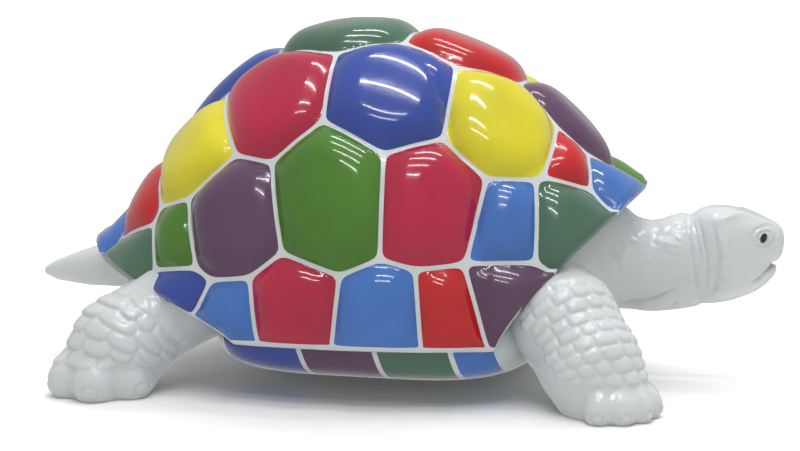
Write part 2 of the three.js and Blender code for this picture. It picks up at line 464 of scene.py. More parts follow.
@dataclass(frozen=True)
class Scute:
    """One plate of the shell, placed by its middle on the dome.

    Attributes:
        bearing: Degrees round from the head.
        reach: From 0 at the crown to 1 at the rim.
        paint: Its enamel.
        size: Metres by which its borders favour it; negative makes it smaller.
        twin: True gives one plate two middles, mirrored left and right.
        far: The enamel of its mirrored twin on the left side, where that differs.
        far_size: That twin's size.
    """

    bearing: float
    reach: float
    paint: Paint
    size: float = 0.0
    twin: bool = False
    far: Paint | None = None
    far_size: float = 0.0


MIDLINE_SCUTES = (
    Scute(0, 0.66, Paint.PURPLE),
    Scute(0, 0.33, Paint.RED, -0.066),
    Scute(180, 0.05, Paint.SPRUCE, -0.060),
    Scute(180, 0.38, Paint.BLUE),
    Scute(142.5, 0.785, Paint.RED, -0.015, twin=True),
)
PAIRED_SCUTES = (
    # the high row
    Scute(41, 0.575, Paint.YELLOW, 0.048),
    Scute(70, 0.455, Paint.BLUE, 0.020),
    Scute(110, 0.475, Paint.CRIMSON, -0.030),
    Scute(128, 0.610, Paint.YELLOW, 0.040),
    # the small plate over the shoulder
    Scute(28, 0.735, Paint.RED, -0.050),
    # the flank row
    Scute(36.5, 0.893, Paint.SPRUCE, 0.030),
    Scute(48, 0.775, Paint.SKY),
    Scute(65, 0.670, Paint.CRIMSON, 0.050),
    Scute(86, 0.682, Paint.GREEN, 0.052),
    Scute(110.5, 0.745, Paint.PURPLE, 0.055),
    Scute(121, 0.800, Paint.GREEN, 0.022),
    # the rim row
    Scute(15.5, 0.905, Paint.SKY, -0.052, far=Paint.GREEN, far_size=-0.052),
    Scute(51, 0.977, Paint.PURPLE, 0.030),
    Scute(64, 0.945, Paint.RED, 0.015),
    Scute(75, 0.96, Paint.SKY, 0.025),
    Scute(94.5, 0.943, Paint.CRIMSON),
    Scute(107, 0.975, Paint.SKY, 0.020),
    Scute(118.5, 0.957, Paint.BLUE, -0.015),
    Scute(137, 0.950, Paint.SPRUCE, 0.052),
    Scute(157, 0.965, Paint.SKY, far=Paint.GREEN, far_size=0.085),
)


@dataclass
class Carapace:
    """The patchwork shell: domed scutes with a flat white line between neighbours.

    Attributes:
        dome: The smooth form under the scutes.
        swell: How high a wide scute swells.
        shoulder: Distance from a scute's border over which it swells.
        power: How full the swell is.
        softness: How much a scute's corners are rounded for the swell.
        line: Half the width of a white line.
        corner: How much the corners of a patch of colour are rounded.
        lip: How far the rim is turned up.
        rim_line: Height of the white line along the rim.
        rim_from: The reach from which the scutes flatten towards the rim.
        rim_calm: The share of the swell that is lost at the rim.
        guard: Bearings between which the rim's white line comes in and goes out, in degrees.
        rings: Rings of corners from crown to rim.
        underside: Rings of the underside: share of the rim's reach, height and corners.
        ceiling: The lowest that the underside comes near the rim, over the sill.
        hem: Rings inside the rim: how far in, and how far above the rim's foot.
        edge: Rings that turn round the rim's edge: how far in, and how far up.
    """

    dome: Dome = field(default_factory=Dome)
    swell: float = 0.0180
    shoulder: float = 0.046
    power: float = 2.4
    softness: float = 0.0110
    line: float = 0.0031
    corner: float = 0.0036
    lip: float = 0.006
    rim_line: float = 0.0034
    rim_from: float = 0.955
    rim_calm: float = 0.65
    guard: Table = ((50, 60), (120, 104))
    rings: int = 114
    underside: Table = ((0.05, 0.120, 12), (0.4, 0.120, 60), (0.7, 0.116, 160))
    ceiling: float = 0.012
    hem: Table = ((0.060, -0.050), (0.036, -0.016), (0.026, 0.000), (0.016, 0.003))
    edge: Table = ((0.006, -0.0005), (0.002, 0.001))

    def seeds(self) -> tuple[Array, Array, Array, Array]:
        """Places the middles of all the scutes, on both sides.

        Returns:
            The middles, their size terms, their scutes' numbers and their enamels.
        """
        middles, sizes, plates, paints = [], [], [], []

        def add(scute: Scute, side: int, plate: int) -> None:
            """Adds one middle of a scute.

            Args:
                scute: The scute, as drawn for the right side.
                side: The side to add it on.
                plate: Its number.
            """
            at = self.dome.point(math.radians(side * scute.bearing), scute.reach)
            middles.append(at)
            size = scute.far_size if side == LEFT and scute.far else scute.size
            sizes.append(math.copysign(size**2, size))
            plates.append(plate)
            enamel = scute.far if side == LEFT and scute.far else scute.paint
            paints.append(PAINTS.index(enamel))

        plate = 0
        for scute in MIDLINE_SCUTES:
            for side in (RIGHT, LEFT) if scute.twin else (LEFT,):
                add(scute, side, plate)
            plate += 1
        for scute in PAIRED_SCUTES:
            for side in (RIGHT, LEFT):
                add(scute, side, plate)
                plate += 1
        return tuple(np.array(values) for values in (middles, sizes, plates, paints))

    def inside(self, points: Array) -> tuple[Array, Array, Array]:
        """Measures how far points lie inside their scute.

        Args:
            points: Places on the dome.

        Returns:
            The distance to the scute's border with its corners a little rounded, the same
            with them rounded much more, for the swell, and the scute's number.
        """
        middles, sizes, plates, _ = self.seeds()
        power = ((points[:, None, :] - middles) ** 2).sum(axis=2) - sizes
        own = power.argmin(axis=1)
        least = power[np.arange(len(points)), own]
        gaps = np.linalg.norm(middles[own][:, None, :] - middles, axis=2)
        border = (power - least[:, None]) / (2 * np.maximum(gaps, 1e-6))
        border[plates[own][:, None] == plates] = np.inf
        nearest = border.min(axis=1)
        off = border - nearest[:, None]
        tight, loose = (
            nearest - k * np.log(np.exp(-off / k).sum(axis=1)) for k in (self.corner, self.softness)
        )
        return tight, loose, plates[own]

    def rim_guard(self, bearing: Array) -> Array:
        """Says from 0 to 1 where a white line runs along the rim: over the belly plate only."""
        turn = np.degrees(np.abs((bearing + math.pi) % (2 * math.pi) - math.pi))
        return math.prod(smoothstep(*ends, turn) for ends in self.guard)

    def surface(self, bearing: Array, reach: Array) -> tuple[Array, Array, Array]:
        """Works out the shell's outer face.

        Args:
            bearing: Bearings round the crown, from the head.
            reach: From 0 at the crown to 1 at the rim.

        Returns:
            The places, how far each lies inside its patch of colour, and its scute's number.
        """
        dome = self.dome
        normal = dome.normal(bearing, reach)
        base = dome.point(bearing, reach)
        depth, soft_depth, plate = self.inside(base)
        share = np.clip((soft_depth - 0.5 * self.line) / self.shoulder, 0.0, 1.0)
        near_rim = smoothstep(self.rim_from, 1.0, reach)
        rise = self.swell * (1 - (1 - share) ** self.power) * (1 - self.rim_calm * near_rim)
        at = base + normal * rise[:, None]
        at[:, 2] += self.lip * near_rim
        guard = self.rim_guard(bearing)
        above = (1 - reach) * (dome.crown - dome.sill) * math.pi / 2
        edge = np.where(guard > 0, above - self.rim_line * guard, np.inf)
        return at, np.minimum(depth - self.line, edge), plate

    def form(self) -> Form:
        """Builds the shell, from the middle of its underside out to the rim and up.

        Returns:
            The shell, cut and painted along its white lines.
        """
        dome = self.dome
        rings = []
        around = 4 * self.rings
        for share, height, count in self.underside:
            x, y = dome.rim(bearings(count))
            z = np.minimum(height, dome.rim_height(x))
            rings.append(np.stack([dome.middle + (x - dome.middle) * share, y * share, z], 1))
        rim = dome.point(bearings(around), np.ones(around))
        inward = unit(np.stack([dome.middle - rim[:, 0], -rim[:, 1], 0 * rim[:, 0]], 1))
        foot = dome.rim_height(rim[:, 0])
        for inward_by, rise in self.hem:
            ring = rim + inward * inward_by
            ring[:, 2] = np.maximum(foot + rise, dome.sill + self.ceiling)
            rings.append(ring)
        under = sum(len(ring) for ring in rings) + 1
        insets = [np.full(under, -1.0)]
        numbers = [np.full(under, -1)]
        spots = [np.full((under + 2 * around, 2), np.nan)]
        depth, _, plate = self.inside(rim)
        guarded = self.rim_guard(bearings(around))
        for inward_by, rise in self.edge:
            rings.append(rim + inward * inward_by + [0.0, 0.0, rise])
            insets.append(np.where(guarded > 0, -self.rim_line, depth - self.line))
            numbers.append(plate)
        for row in range(self.rings, -1, -1):
            count = max(1, 4 * row)
            spot = np.stack([bearings(count), np.full(count, row / self.rings)], 1)
            ring, inset, plate = self.surface(*spot.T)
            for values, value in ((rings, ring), (insets, inset), (numbers, plate), (spots, spot)):
                values.append(value)
        points, faces = zip_rings(rings)
        inset, plate, spot = (np.concatenate(values) for values in (insets, numbers, spots))

        def between(edges: Array, share: Array) -> tuple[Array, Array, Array, Array]:
            """Works out what lies at shares of the way along edges.

            Args:
                edges: Pairs of corners.
                share: How far along each edge.

            Returns:
                The places, their insets, their scutes and their spots on the dome.
            """
            a, b = edges.T
            t = share[:, None]
            at = points[a] * (1 - t) + points[b] * t
            depth = inset[a] * (1 - share) + inset[b] * share
            number = np.where(share < 0.5, plate[a], plate[b])
            turn = (spot[b] - spot[a] + math.pi) % (2 * math.pi) - math.pi
            ways = spot[a] + turn * t
            above = np.flatnonzero(~np.isnan(ways).any(axis=1))
            at[above], depth[above], number[above] = self.surface(*ways[above].T)
            return at, depth, number, ways

        def borders(a: Array, b: Array) -> Array:
            """Says which edges run from one scute to another."""
            return (plate[a] != plate[b]) & (plate[a] >= 0) & (plate[b] >= 0)

        faces, _, edges = split_triangles(faces, len(points), borders)
        shares = halved(edges, lambda ends, share: between(ends, share)[2] == plate[ends[:, 0]])
        at, depth, number, ways = between(edges, shares)
        points, spot = np.vstack([points, at]), np.vstack([spot, ways])
        inset = np.append(inset, np.minimum(depth, -0.5 * self.line))
        plate = np.append(plate, number)
        painted = inset > 0
        faces, owner, edges = split_triangles(
            faces, len(points), lambda a, b: painted[a] != painted[b])
        shares = halved(
            edges, lambda ends, share: (between(ends, share)[1] > 0) == painted[ends[:, 0]])
        points = np.vstack([points, between(edges, shares)[0]])
        _, _, plates, paints = self.seeds()
        enamels = np.zeros(plates.max() + 1, int)
        enamels[plates] = paints
        paint = paints_of(np.where(painted[owner], owner, -1), enamels[plate])
        return plain_form(points, faces, paint)


@dataclass
class Plastron:
    """The belly plate, whose flanks carry a band of four coloured patches a side.

    Attributes:
        middle: Its middle along the body.
        half_length: Half its length.
        half_width: Half its width.
        squareness: How square its outline is; 2 is an oval.
        line: Half the width of a white line.
        around: Corners in each ring.
        levels: Its rings from the bottom up: height, and share of the full outline.
        paints: The enamels of the band, from the tail on.
        seams: Where the band's white lines run.
        seam_lean: How far forward the lines lean, for their height.
        seam_height: The height at which the seams' places hold.
        band_foot: Height of the band's lower edge.
        band_in: How near the midline the band may come.
    """

    middle: float = 0.016
    half_length: float = 0.250
    half_width: float = 0.298
    squareness: float = 4.0
    line: float = 0.0037
    around: int = 540
    levels: Table = (
        (0.028, 0.30), (0.028, 0.55), (0.0285, 0.70), (0.0295, 0.77), (0.0320, 0.83),
        (0.0360, 0.875), (0.0405, 0.91), (0.0460, 0.94), (0.0520, 0.963), (0.0600, 0.98),
        (0.0690, 0.992), (0.0780, 1.0), (0.0870, 0.998), (0.1000, 0.985), (0.1400, 0.94),
    )
    paints: tuple[Paint, ...] = (Paint.BLUE, Paint.PURPLE, Paint.SPRUCE, Paint.SKY)
    seams: tuple[float, ...] = (-0.190, -0.058, 0.054, 0.162, 0.222)
    seam_lean: float = 0.25
    seam_height: float = 0.06
    band_foot: float = 0.0305
    band_in: float = 0.20

    def outline(self, share: float) -> Array:
        """Draws the plate's outline in even steps.

        Args:
            share: From 1 for the full outline down to 0, drawn in by half the width.

        Returns:
            The outline's points in plan.
        """
        a = 2 * math.pi * np.arange(4 * self.around + 1) / (4 * self.around)
        c, s = np.cos(a), np.sin(a)
        n = self.squareness
        k = (np.abs(c) ** n + np.abs(s) ** n) ** (-1.0 / n)
        inset = (1 - share) * self.half_width
        x = self.middle + (self.half_length - inset) * k * c
        y = (self.half_width - inset) * k * s
        run = np.append(0.0, np.cumsum(np.hypot(np.diff(x), np.diff(y))))
        even = run[-1] * np.arange(self.around) / self.around
        return np.stack([np.interp(even, run, x), np.interp(even, run, y)], axis=1)

    def lean(self, x: Array, z: Array) -> Array:
        """Returns places along the band, whose seams lean a little."""
        return x + self.seam_lean * (z - self.seam_height)

    def patches(self, points: Array) -> tuple[Array, Array]:
        """Finds the patch of the band that places lie in.

        Args:
            points: Places on the plate.

        Returns:
            How far they lie inside their patch, and its number.
        """
        x, y, z = points.T
        lean = self.lean(x, z)
        seams = np.array(self.seams)
        cell = np.clip(np.searchsorted(seams, lean) - 1, 0, len(self.paints) - 1)
        along = np.minimum(lean - seams[cell], seams[cell + 1] - lean) - self.line
        return np.minimum(along, np.minimum(z - self.band_foot, np.abs(y) - self.band_in)), cell

    def form(self) -> Form:
        """Builds the belly plate.

        Returns:
            The plate, cut and painted along the lines of its band.
        """
        rings = []
        for height, share in self.levels:
            plan = self.outline(share)
            rings.append(np.column_stack([plan, np.full(len(plan), height)]))
        points, faces = zip_rings(rings)

        inset, cell = self.patches(points)
        painted = inset > 0

        def between(edges: Array, share: Array) -> Array:
            """Returns the places at shares of the way along edges."""
            a, b = edges.T
            return points[a] + (points[b] - points[a]) * share[:, None]

        faces, owner, edges = split_triangles(
            faces, len(points), lambda a, b: painted[a] != painted[b])
        shares = halved(edges, lambda ends, share: (
            self.patches(between(ends, share))[0] > 0) == painted[ends[:, 0]])
        points = np.vstack([points, between(edges, shares)])
        numbers = np.array([PAINTS.index(paint) for paint in self.paints])
        paint = paints_of(np.where(painted[owner], owner, -1), numbers[cell])
        return plain_form(points, faces, paint)


# ---------- skin ----------


PAD_FILLET = 0.018  # between the pad of a foot and its leg
TOE_STEPS = (1.0, 1.15, 2.2)  # tip, knuckle and root: back from a toe's end, in toe radii
TOE_WAIST = 0.95  # radius of a toe at its knuckle, in toe radii
TIP_HEIGHT = 0.7  # height of a toe's tip, in toe radii
ROOT_RISE = 0.008  # how far a toe's root lies over its knuckle
TOE_FILLET = 0.008  # between the two stretches of a toe
NAIL_TOP = 0.72  # where a nail's slope ends in its top, in the nail's half size
FURROW_AT = 1.12  # middle of the furrow round a nail, in the same measure
FURROW_WIDTH = 0.16  # its half width, in the same measure
SPINE_STEPS = 12  # points to each stretch of a leg's spine
ROW_SAMPLES = 60  # places that the rows of scales are measured from
HALVINGS = 18  # halvings that find a place on the skin


@dataclass(frozen=True)
class Joint:
    """One round place in a limb: its middle on the right side, its radius and its stride share."""

    at: tuple[float, float, float]
    radius: float
    stride: float


@dataclass
class Scales:
    """The raised scales on the outer face of a leg, in rows that fan out down to the ankle.

    Attributes:
        facing: Bearing that the middle of the scaled face looks at, in degrees.
        half_turn: How far round each way the scales run, in degrees.
        rows: Rows of scales above the ankle.
        height: Height of a row on the middle of the face.
        width: Width of a scale there.
        uneven: How much the widths vary in a row, as a share.
        shift: How far each row is set round from the last, as a share of a scale.
        bow: How far the middle of a scale's lower edge hangs below its ends.
        rise: How far a scale stands up at its upper edge.
        lap: How much further it stands up at its lower edge, over the next row.
        faint: Rows at the top that fade into the smooth skin.
        shoulder: Width over which a scale rounds off at its edges.
        corner: How much its corners are rounded.
        groove: Half the width of the flat groove between scales.
        fullness: How full a scale's cushion is.
        seed: Seed for the uneven widths.
        tallness: The lowest scale's height and what the tallest has more, as shares.
    """

    facing: float
    half_turn: float
    rows: int
    height: float
    width: float
    uneven: float
    shift: float
    bow: float
    rise: float
    lap: float
    faint: int
    shoulder: float = 0.0070
    corner: float = 0.0022
    groove: float = 0.0004
    fullness: float = 2.2
    seed: int = 11
    tallness: tuple[float, float] = (0.85, 0.3)


@dataclass
class Leg:
    """A leg with its flat-soled foot, toes, nails and rows of raised scales.

    Attributes:
        side: RIGHT or LEFT.
        stride: How far forward the foot is set from the drawn place.
        joints: From the hip or shoulder down to the ankle.
        foot: Middle of the sole, on the right side.
        foot_half: Half the length, width and height of the pad of the foot.
        heading: Bearing of the middle toe, from the head round to the side, in degrees.
        spread: Degrees from the first toe to the last.
        toes: How many toes.
        toe_radius: Radius of a toe's tip.
        toe_reach: From the middle of the sole to a toe's tip.
        toe_height: Height of a knuckle's middle.
        toe_blend: Width of the fillet between toe and foot.
        nail: Half the width and height of a nail, and the height of its middle.
        scales: The scales on its outer face.
        ankle: Height where the scales end.
        reach: How far out from its joints a leg may spread.
        ankle_height: Height of the last joint, over the sole.
        pad_height: Height of the middle of the foot's pad.
        fillet: Width of the fillets between the stretches of the leg.
        nail_rise: How far a nail stands up.
        nail_furrow: How deep the furrow round a nail is.
        levelling: How late the rows of scales turn level on their way down.
    """

    side: int
    stride: float
    joints: tuple[Joint, ...]
    foot: tuple[float, float]
    foot_half: tuple[float, float, float]
    heading: float
    spread: float
    toes: int
    toe_radius: float
    toe_reach: float
    toe_height: float
    toe_blend: float
    nail: tuple[float, float, float]
    scales: Scales
    ankle: float = 0.051
    reach: float = 0.16
    ankle_height: float = 0.030
    pad_height: float = 0.020
    fillet: float = 0.020
    nail_rise: float = 0.0013
    nail_furrow: float = 0.0014
    levelling: float = 1.5

    def __post_init__(self) -> None:
        """Sets out the scales once."""
        self.set_out_scales()

    def place(self, at: tuple[float, ...], share: float) -> Array:
        """Returns a place drawn for the right side, moved to this leg's side and stride."""
        height = at[2] if len(at) > 2 else 0.0
        return np.array([at[0] + self.stride * share, self.side * at[1], height])

    def heading_of(self, degrees: float) -> Array:
        """Returns the level direction of a bearing drawn for the right side."""
        turn = math.radians(degrees)
        return np.array([math.cos(turn), self.side * math.sin(turn), 0.0])

    def spine(self) -> tuple[Array, Array]:
        """Lists the joints of the leg, ending in the ankle over the sole.

        Returns:
            Their middles and their radii.
        """
        middles = [self.place(joint.at, joint.stride) for joint in self.joints]
        ankle = self.place((*self.foot, self.ankle_height), 1.0)
        radii = [joint.radius for joint in self.joints] + [self.foot_half[0]]
        return np.array([*middles, ankle]), np.array(radii)

    def toe_directions(self) -> list[Array]:
        """Returns the level directions that the toes point in."""
        turns = np.linspace(-0.5, 0.5, self.toes) * self.spread + self.heading
        return [self.heading_of(turn) for turn in turns]

    def near(self, points: Array) -> Array:
        """Finds the points in the room round the leg.

        Args:
            points: Places to test.

        Returns:
            True for each point in that room.
        """
        middles, _ = self.spine()
        low = middles.min(axis=0) - self.reach
        high = middles.max(axis=0) + self.reach
        return ((points > low) & (points < high)).all(axis=1)

    def field(self, points: Array) -> Array:
        """Measures the distance to the leg without its scales.

        Args:
            points: Where to measure.

        Returns:
            Distances, negative inside.
        """
        middles, radii = self.spine()
        made = np.full(len(points), self.reach)
        near = self.near(points)
        p = points[near]
        if not len(p):
            return made
        d = round_cone(p, middles[0], middles[1], radii[0], radii[1])
        for k in range(1, len(middles) - 1):
            stretch = round_cone(p, middles[k], middles[k + 1], radii[k], radii[k + 1])
            d = blend(d, stretch, self.fillet)
        sole = self.place(self.foot, 1.0)
        pad = ellipsoid(p, sole + [0, 0, self.pad_height], np.array(self.foot_half))
        d = blend(d, pad, PAD_FILLET)
        radius = self.toe_radius
        waist = TOE_WAIST * radius
        for out in self.toe_directions():
            tip, knuckle, root = (
                sole + out * (self.toe_reach - back * radius) + [0, 0, height]
                for back, height in zip(TOE_STEPS, (
                    TIP_HEIGHT * radius, self.toe_height, self.toe_height + ROOT_RISE))
            )
            toe = blend(round_cone(p, knuckle, tip, waist, radius),
                        round_cone(p, root, knuckle, radius, waist), TOE_FILLET)
            d = blend(d, toe, self.toe_blend)
        made[near] = np.maximum(d, -p[:, 2])
        return made

    def row_planes(self, share: Array) -> tuple[Array, Array]:
        """Finds the planes that the rows of scales lie in.

        Args:
            share: From 0 at the top of the leg to 1 at the ankle, or a little beyond.

        Returns:
            A middle of each plane, on the leg's spine, and its direction down the leg.
        """
        middles, _ = self.spine()
        middles[-1, 2] = self.ankle
        path = smooth_curve(middles, SPINE_STEPS)
        along = np.clip(share, 0.0, 1.0) * (len(path) - 1)
        marks = np.arange(len(path))
        centres = np.stack([np.interp(along, marks, path[:, k]) for k in range(3)], 1)
        centres[:, 2] -= np.clip(share - 1.0, 0.0, None)
        axis = unit(middles[-2] - middles[0])
        level = np.clip(share, 0.0, 1.0)[:, None] ** self.levelling
        return centres, unit((1 - level) * axis + level * [0.0, 0.0, -1.0])

    def on_skin(self, share: Array, turn: Array) -> tuple[Array, Array]:
        """Finds places on the leg's skin by their row plane and turn.

        Args:
            share: From 0 at the top of the leg to 1 at the ankle.
            turn: Radians round from the middle of the scaled face.

        Returns:
            The places and the directions down the leg there.
        """
        centres, down = self.row_planes(share)
        face = self.heading_of(self.scales.facing)
        outward = unit(face - (down @ face)[:, None] * down)
        sideways = np.cross(down, outward)
        ray = outward * np.cos(turn)[:, None] + sideways * np.sin(turn)[:, None]
        low = np.zeros(len(share))
        high = np.full(len(share), self.reach)
        for _ in range(HALVINGS):
            middle = (low + high) / 2
            inside = self.field(centres + ray * middle[:, None]) < 0
            low = np.where(inside, middle, low)
            high = np.where(inside, high, middle)
        return centres + ray * low[:, None], down

    def set_out_scales(self) -> None:
        """Works out the planes between the rows, and the turns between the scales of each."""
        scales = self.scales
        shares = np.linspace(0.0, 1.0, ROW_SAMPLES)
        face, _ = self.on_skin(shares, np.zeros_like(shares))
        steps = np.linalg.norm(np.diff(face, axis=0), axis=1)
        above = np.append(steps[::-1].cumsum()[::-1], 0.0)
        edges = scales.height * np.arange(scales.rows, -1, -1)
        edge_shares = np.interp(edges, above[::-1], shares[::-1])
        self.edge_centres, self.edge_downs = self.row_planes(edge_shares)
        rng = np.random.default_rng(scales.seed)
        half_turn = math.radians(scales.half_turn)
        self.splits = []
        for row in range(scales.rows):
            spot, _ = self.on_skin(edge_shares[row:row + 1], np.zeros(1))
            step = scales.width / np.linalg.norm(spot - self.edge_centres[row])
            count = max(2, round(2 * half_turn / step))
            widths = 1 + scales.uneven * rng.uniform(-1.0, 1.0, count)
            turns = np.append(0.0, np.cumsum(widths)) / widths.sum() - 0.5
            start = scales.shift * ((row % 2) - 0.5)
            self.splits.append(2 * half_turn * (turns + start / count))

    def in_row(self, row: int, points: Array) -> tuple[Array, Array, Array]:
        """Finds where points lie round a row of scales.

        Args:
            row: The row, from the top.
            points: Places on the leg.

        Returns:
            The distance to the nearer side of the scale there, negative outside the row,
            the place across it from -1 to 1, and its number.
        """
        down = self.edge_downs[row]
        face = self.heading_of(self.scales.facing)
        outward = unit(face - (down @ face) * down)
        sideways = np.cross(down, outward)
        off = points - self.edge_centres[row]
        ahead, aside = off @ outward, off @ sideways
        turn = np.arctan2(aside, ahead)
        splits = self.splits[row]
        number = np.clip(np.searchsorted(splits, turn) - 1, 0, len(splits) - 2)
        low, high = splits[number], splits[number + 1]
        gap = np.minimum(turn - low, high - turn) * np.hypot(ahead, aside)
        return gap, (2 * turn - low - high) / (high - low), number

    def relief(self, points: Array) -> Array:
        """Works out how far the scales and nails raise the skin.

        Args:
            points: Places on the skin.

        Returns:
            The lift at each place.
        """
        rise = np.zeros(len(points))
        near = np.flatnonzero(self.near(points))
        p = points[near]
        scales = self.scales
        made = self.nails(p)
        upper = ((p - self.edge_centres[0]) * self.edge_downs[0]).sum(axis=1)
        for row in range(scales.rows):
            side, across, number = self.in_row(row, p)
            down = self.edge_downs[row + 1]
            below = (p - self.edge_centres[row + 1]) @ down
            below = below - scales.bow * (1 - np.clip(across, -1.0, 1.0) ** 2)
            inside = (upper > 0) & (below < 0) & (side > 0)
            edges = np.stack([upper, -below, side], axis=1)
            least = edges.min(axis=1)
            crowd = np.exp(np.clip((least[:, None] - edges) / scales.corner, -30.0, 0.0)).sum(axis=1)
            border = least - scales.corner * np.log(crowd)
            full = np.clip((border - scales.groove) / scales.shoulder, 0.0, 1.0)
            share = upper / np.maximum(upper - below, 1e-6)
            lowest, more = scales.tallness
            uneven = lowest + more * ((number * 7 + row * 5) % 4) / 3
            fading = min(1.0, (row + 1) / (scales.faint + 1))
            rounded = 1 - (1 - full) ** scales.fullness
            lift = rounded * (scales.rise + scales.lap * share) * uneven * fading
            made += np.where(inside, lift, 0.0)
            upper = below
        rise[near] = made
        return rise

    def nails(self, points: Array) -> Array:
        """Works out the lift of the small round-topped nails and the furrows round them.

        Args:
            points: Places on the leg.

        Returns:
            The lift at each place.
        """
        half_width, half_height, middle = self.nail
        sole = self.place(self.foot, 1.0)
        made = np.zeros(len(points))
        off = points - sole
        for out in self.toe_directions():
            across = off @ np.array([-out[1], out[0], 0.0])
            ahead = off @ out > self.toe_reach - self.toe_radius
            size = np.hypot(across / half_width, (points[:, 2] - middle) / half_height)
            nail = self.nail_rise * smoothstep(1.0, NAIL_TOP, size)
            furrow = self.nail_furrow * np.exp(-(((size - FURROW_AT) / FURROW_WIDTH) ** 2))
            made += np.where(ahead, nail - furrow, 0.0)
        return made


STROKE_STEPS = 8  # points to each stretch of a drawn curve
FAR = 0.15  # stands for any distance too far away to matter


@dataclass(frozen=True)
class Stroke:
    """A crease or a raised place of the head and neck, drawn in the side view.

    Attributes:
        path: Its corners in x and z.
        lift: How deep or how high it is.
        width: Its half width.
    """

    path: tuple[tuple[float, float], ...]
    lift: float
    width: float

    def curve(self) -> Array:
        """Returns the points of its smooth course."""
        return smooth_curve(np.array(self.path), STROKE_STEPS)


def fade(share: Array, ends: float) -> Array:
    """Returns 1 along the middle of a stroke, falling to 0 over 1 / ends of it at each end."""
    return np.clip(ends * share, 0, 1) * np.clip(ends * (1 - share), 0, 1)


CREASES = (
    Stroke(((0.463, 0.246), (0.4655, 0.222), (0.472, 0.186), (0.477, 0.148)), 0.0022, 0.0022),
    Stroke(((0.478, 0.250), (0.486, 0.219), (0.492, 0.192), (0.491, 0.148)), 0.0022, 0.0022),
    Stroke(((0.474, 0.228), (0.482, 0.205), (0.484, 0.188)), 0.0017, 0.0015),
    Stroke(((0.470, 0.246), (0.478, 0.226), (0.481, 0.214)), 0.0015, 0.0015),
    Stroke(((0.497, 0.248), (0.5055, 0.219), (0.5085, 0.186), (0.505, 0.157), (0.493, 0.134)),
           0.0022, 0.0034),
    Stroke(((0.352, 0.118), (0.380, 0.1235), (0.417, 0.132), (0.446, 0.148)), 0.0042, 0.0026),
    Stroke(((0.448, 0.127), (0.443, 0.116)), 0.0022, 0.0015),
    Stroke(((0.467, 0.122), (0.460, 0.115)), 0.0018, 0.0015),
    Stroke(((0.380, 0.150), (0.392, 0.172), (0.398, 0.200)), 0.0014, 0.0060),
    Stroke(((0.333, 0.190), (0.346, 0.172), (0.352, 0.150)), 0.0020, 0.0040),
    Stroke(((0.352, 0.205), (0.364, 0.186), (0.368, 0.165)), 0.0018, 0.0036),
    Stroke(((0.552, 0.205), (0.566, 0.2045), (0.582, 0.2100), (0.590, 0.2200)), 0.0012, 0.0036),
)
SWELLS = (
    Stroke(((0.490, 0.2440), (0.506, 0.2500), (0.523, 0.2555), (0.542, 0.2590), (0.560, 0.2570),
            (0.576, 0.2520), (0.590, 0.2430)), 0.0036, 0.0044),
    Stroke(((0.500, 0.2535), (0.512, 0.2580), (0.524, 0.2615), (0.534, 0.2635)), -0.0012, 0.0034),
    Stroke(((0.512, 0.240), (0.518, 0.205), (0.520, 0.170), (0.512, 0.145)), 0.0030, 0.0110),
    Stroke(((0.385, 0.205), (0.395, 0.225), (0.412, 0.232)), 0.0034, 0.0090),
    Stroke(((0.415, 0.222), (0.436, 0.212), (0.452, 0.206)), 0.0022, 0.0080),
    Stroke(((0.360, 0.185), (0.372, 0.200), (0.380, 0.212)), 0.0030, 0.0080),
    Stroke(((0.556, 0.1525), (0.568, 0.1600), (0.580, 0.1705), (0.590, 0.1800)), 0.0018, 0.0036),
    Stroke(((0.558, 0.1680), (0.570, 0.1760), (0.580, 0.1860), (0.592, 0.1950)), 0.0014, 0.0045),
    Stroke(((0.380, 0.116), (0.410, 0.119), (0.440, 0.130)), 0.0024, 0.0080),
)
MOUTH = ((0.5550, 0.1575), (0.5665, 0.1650), (0.5780, 0.1750), (0.5900, 0.1850))


@dataclass(frozen=True)
class EyeRing:
    """A raised or sunk ring round an eye: where it runs in lid widths, its width and its lift."""

    at: float
    width: float
    lift: float

    def height(self, reach: Array) -> Array:
        """Returns the lift at places, given how many lid widths they are from the eye."""
        return self.lift * np.exp(-(((reach - self.at) / self.width) ** 2))


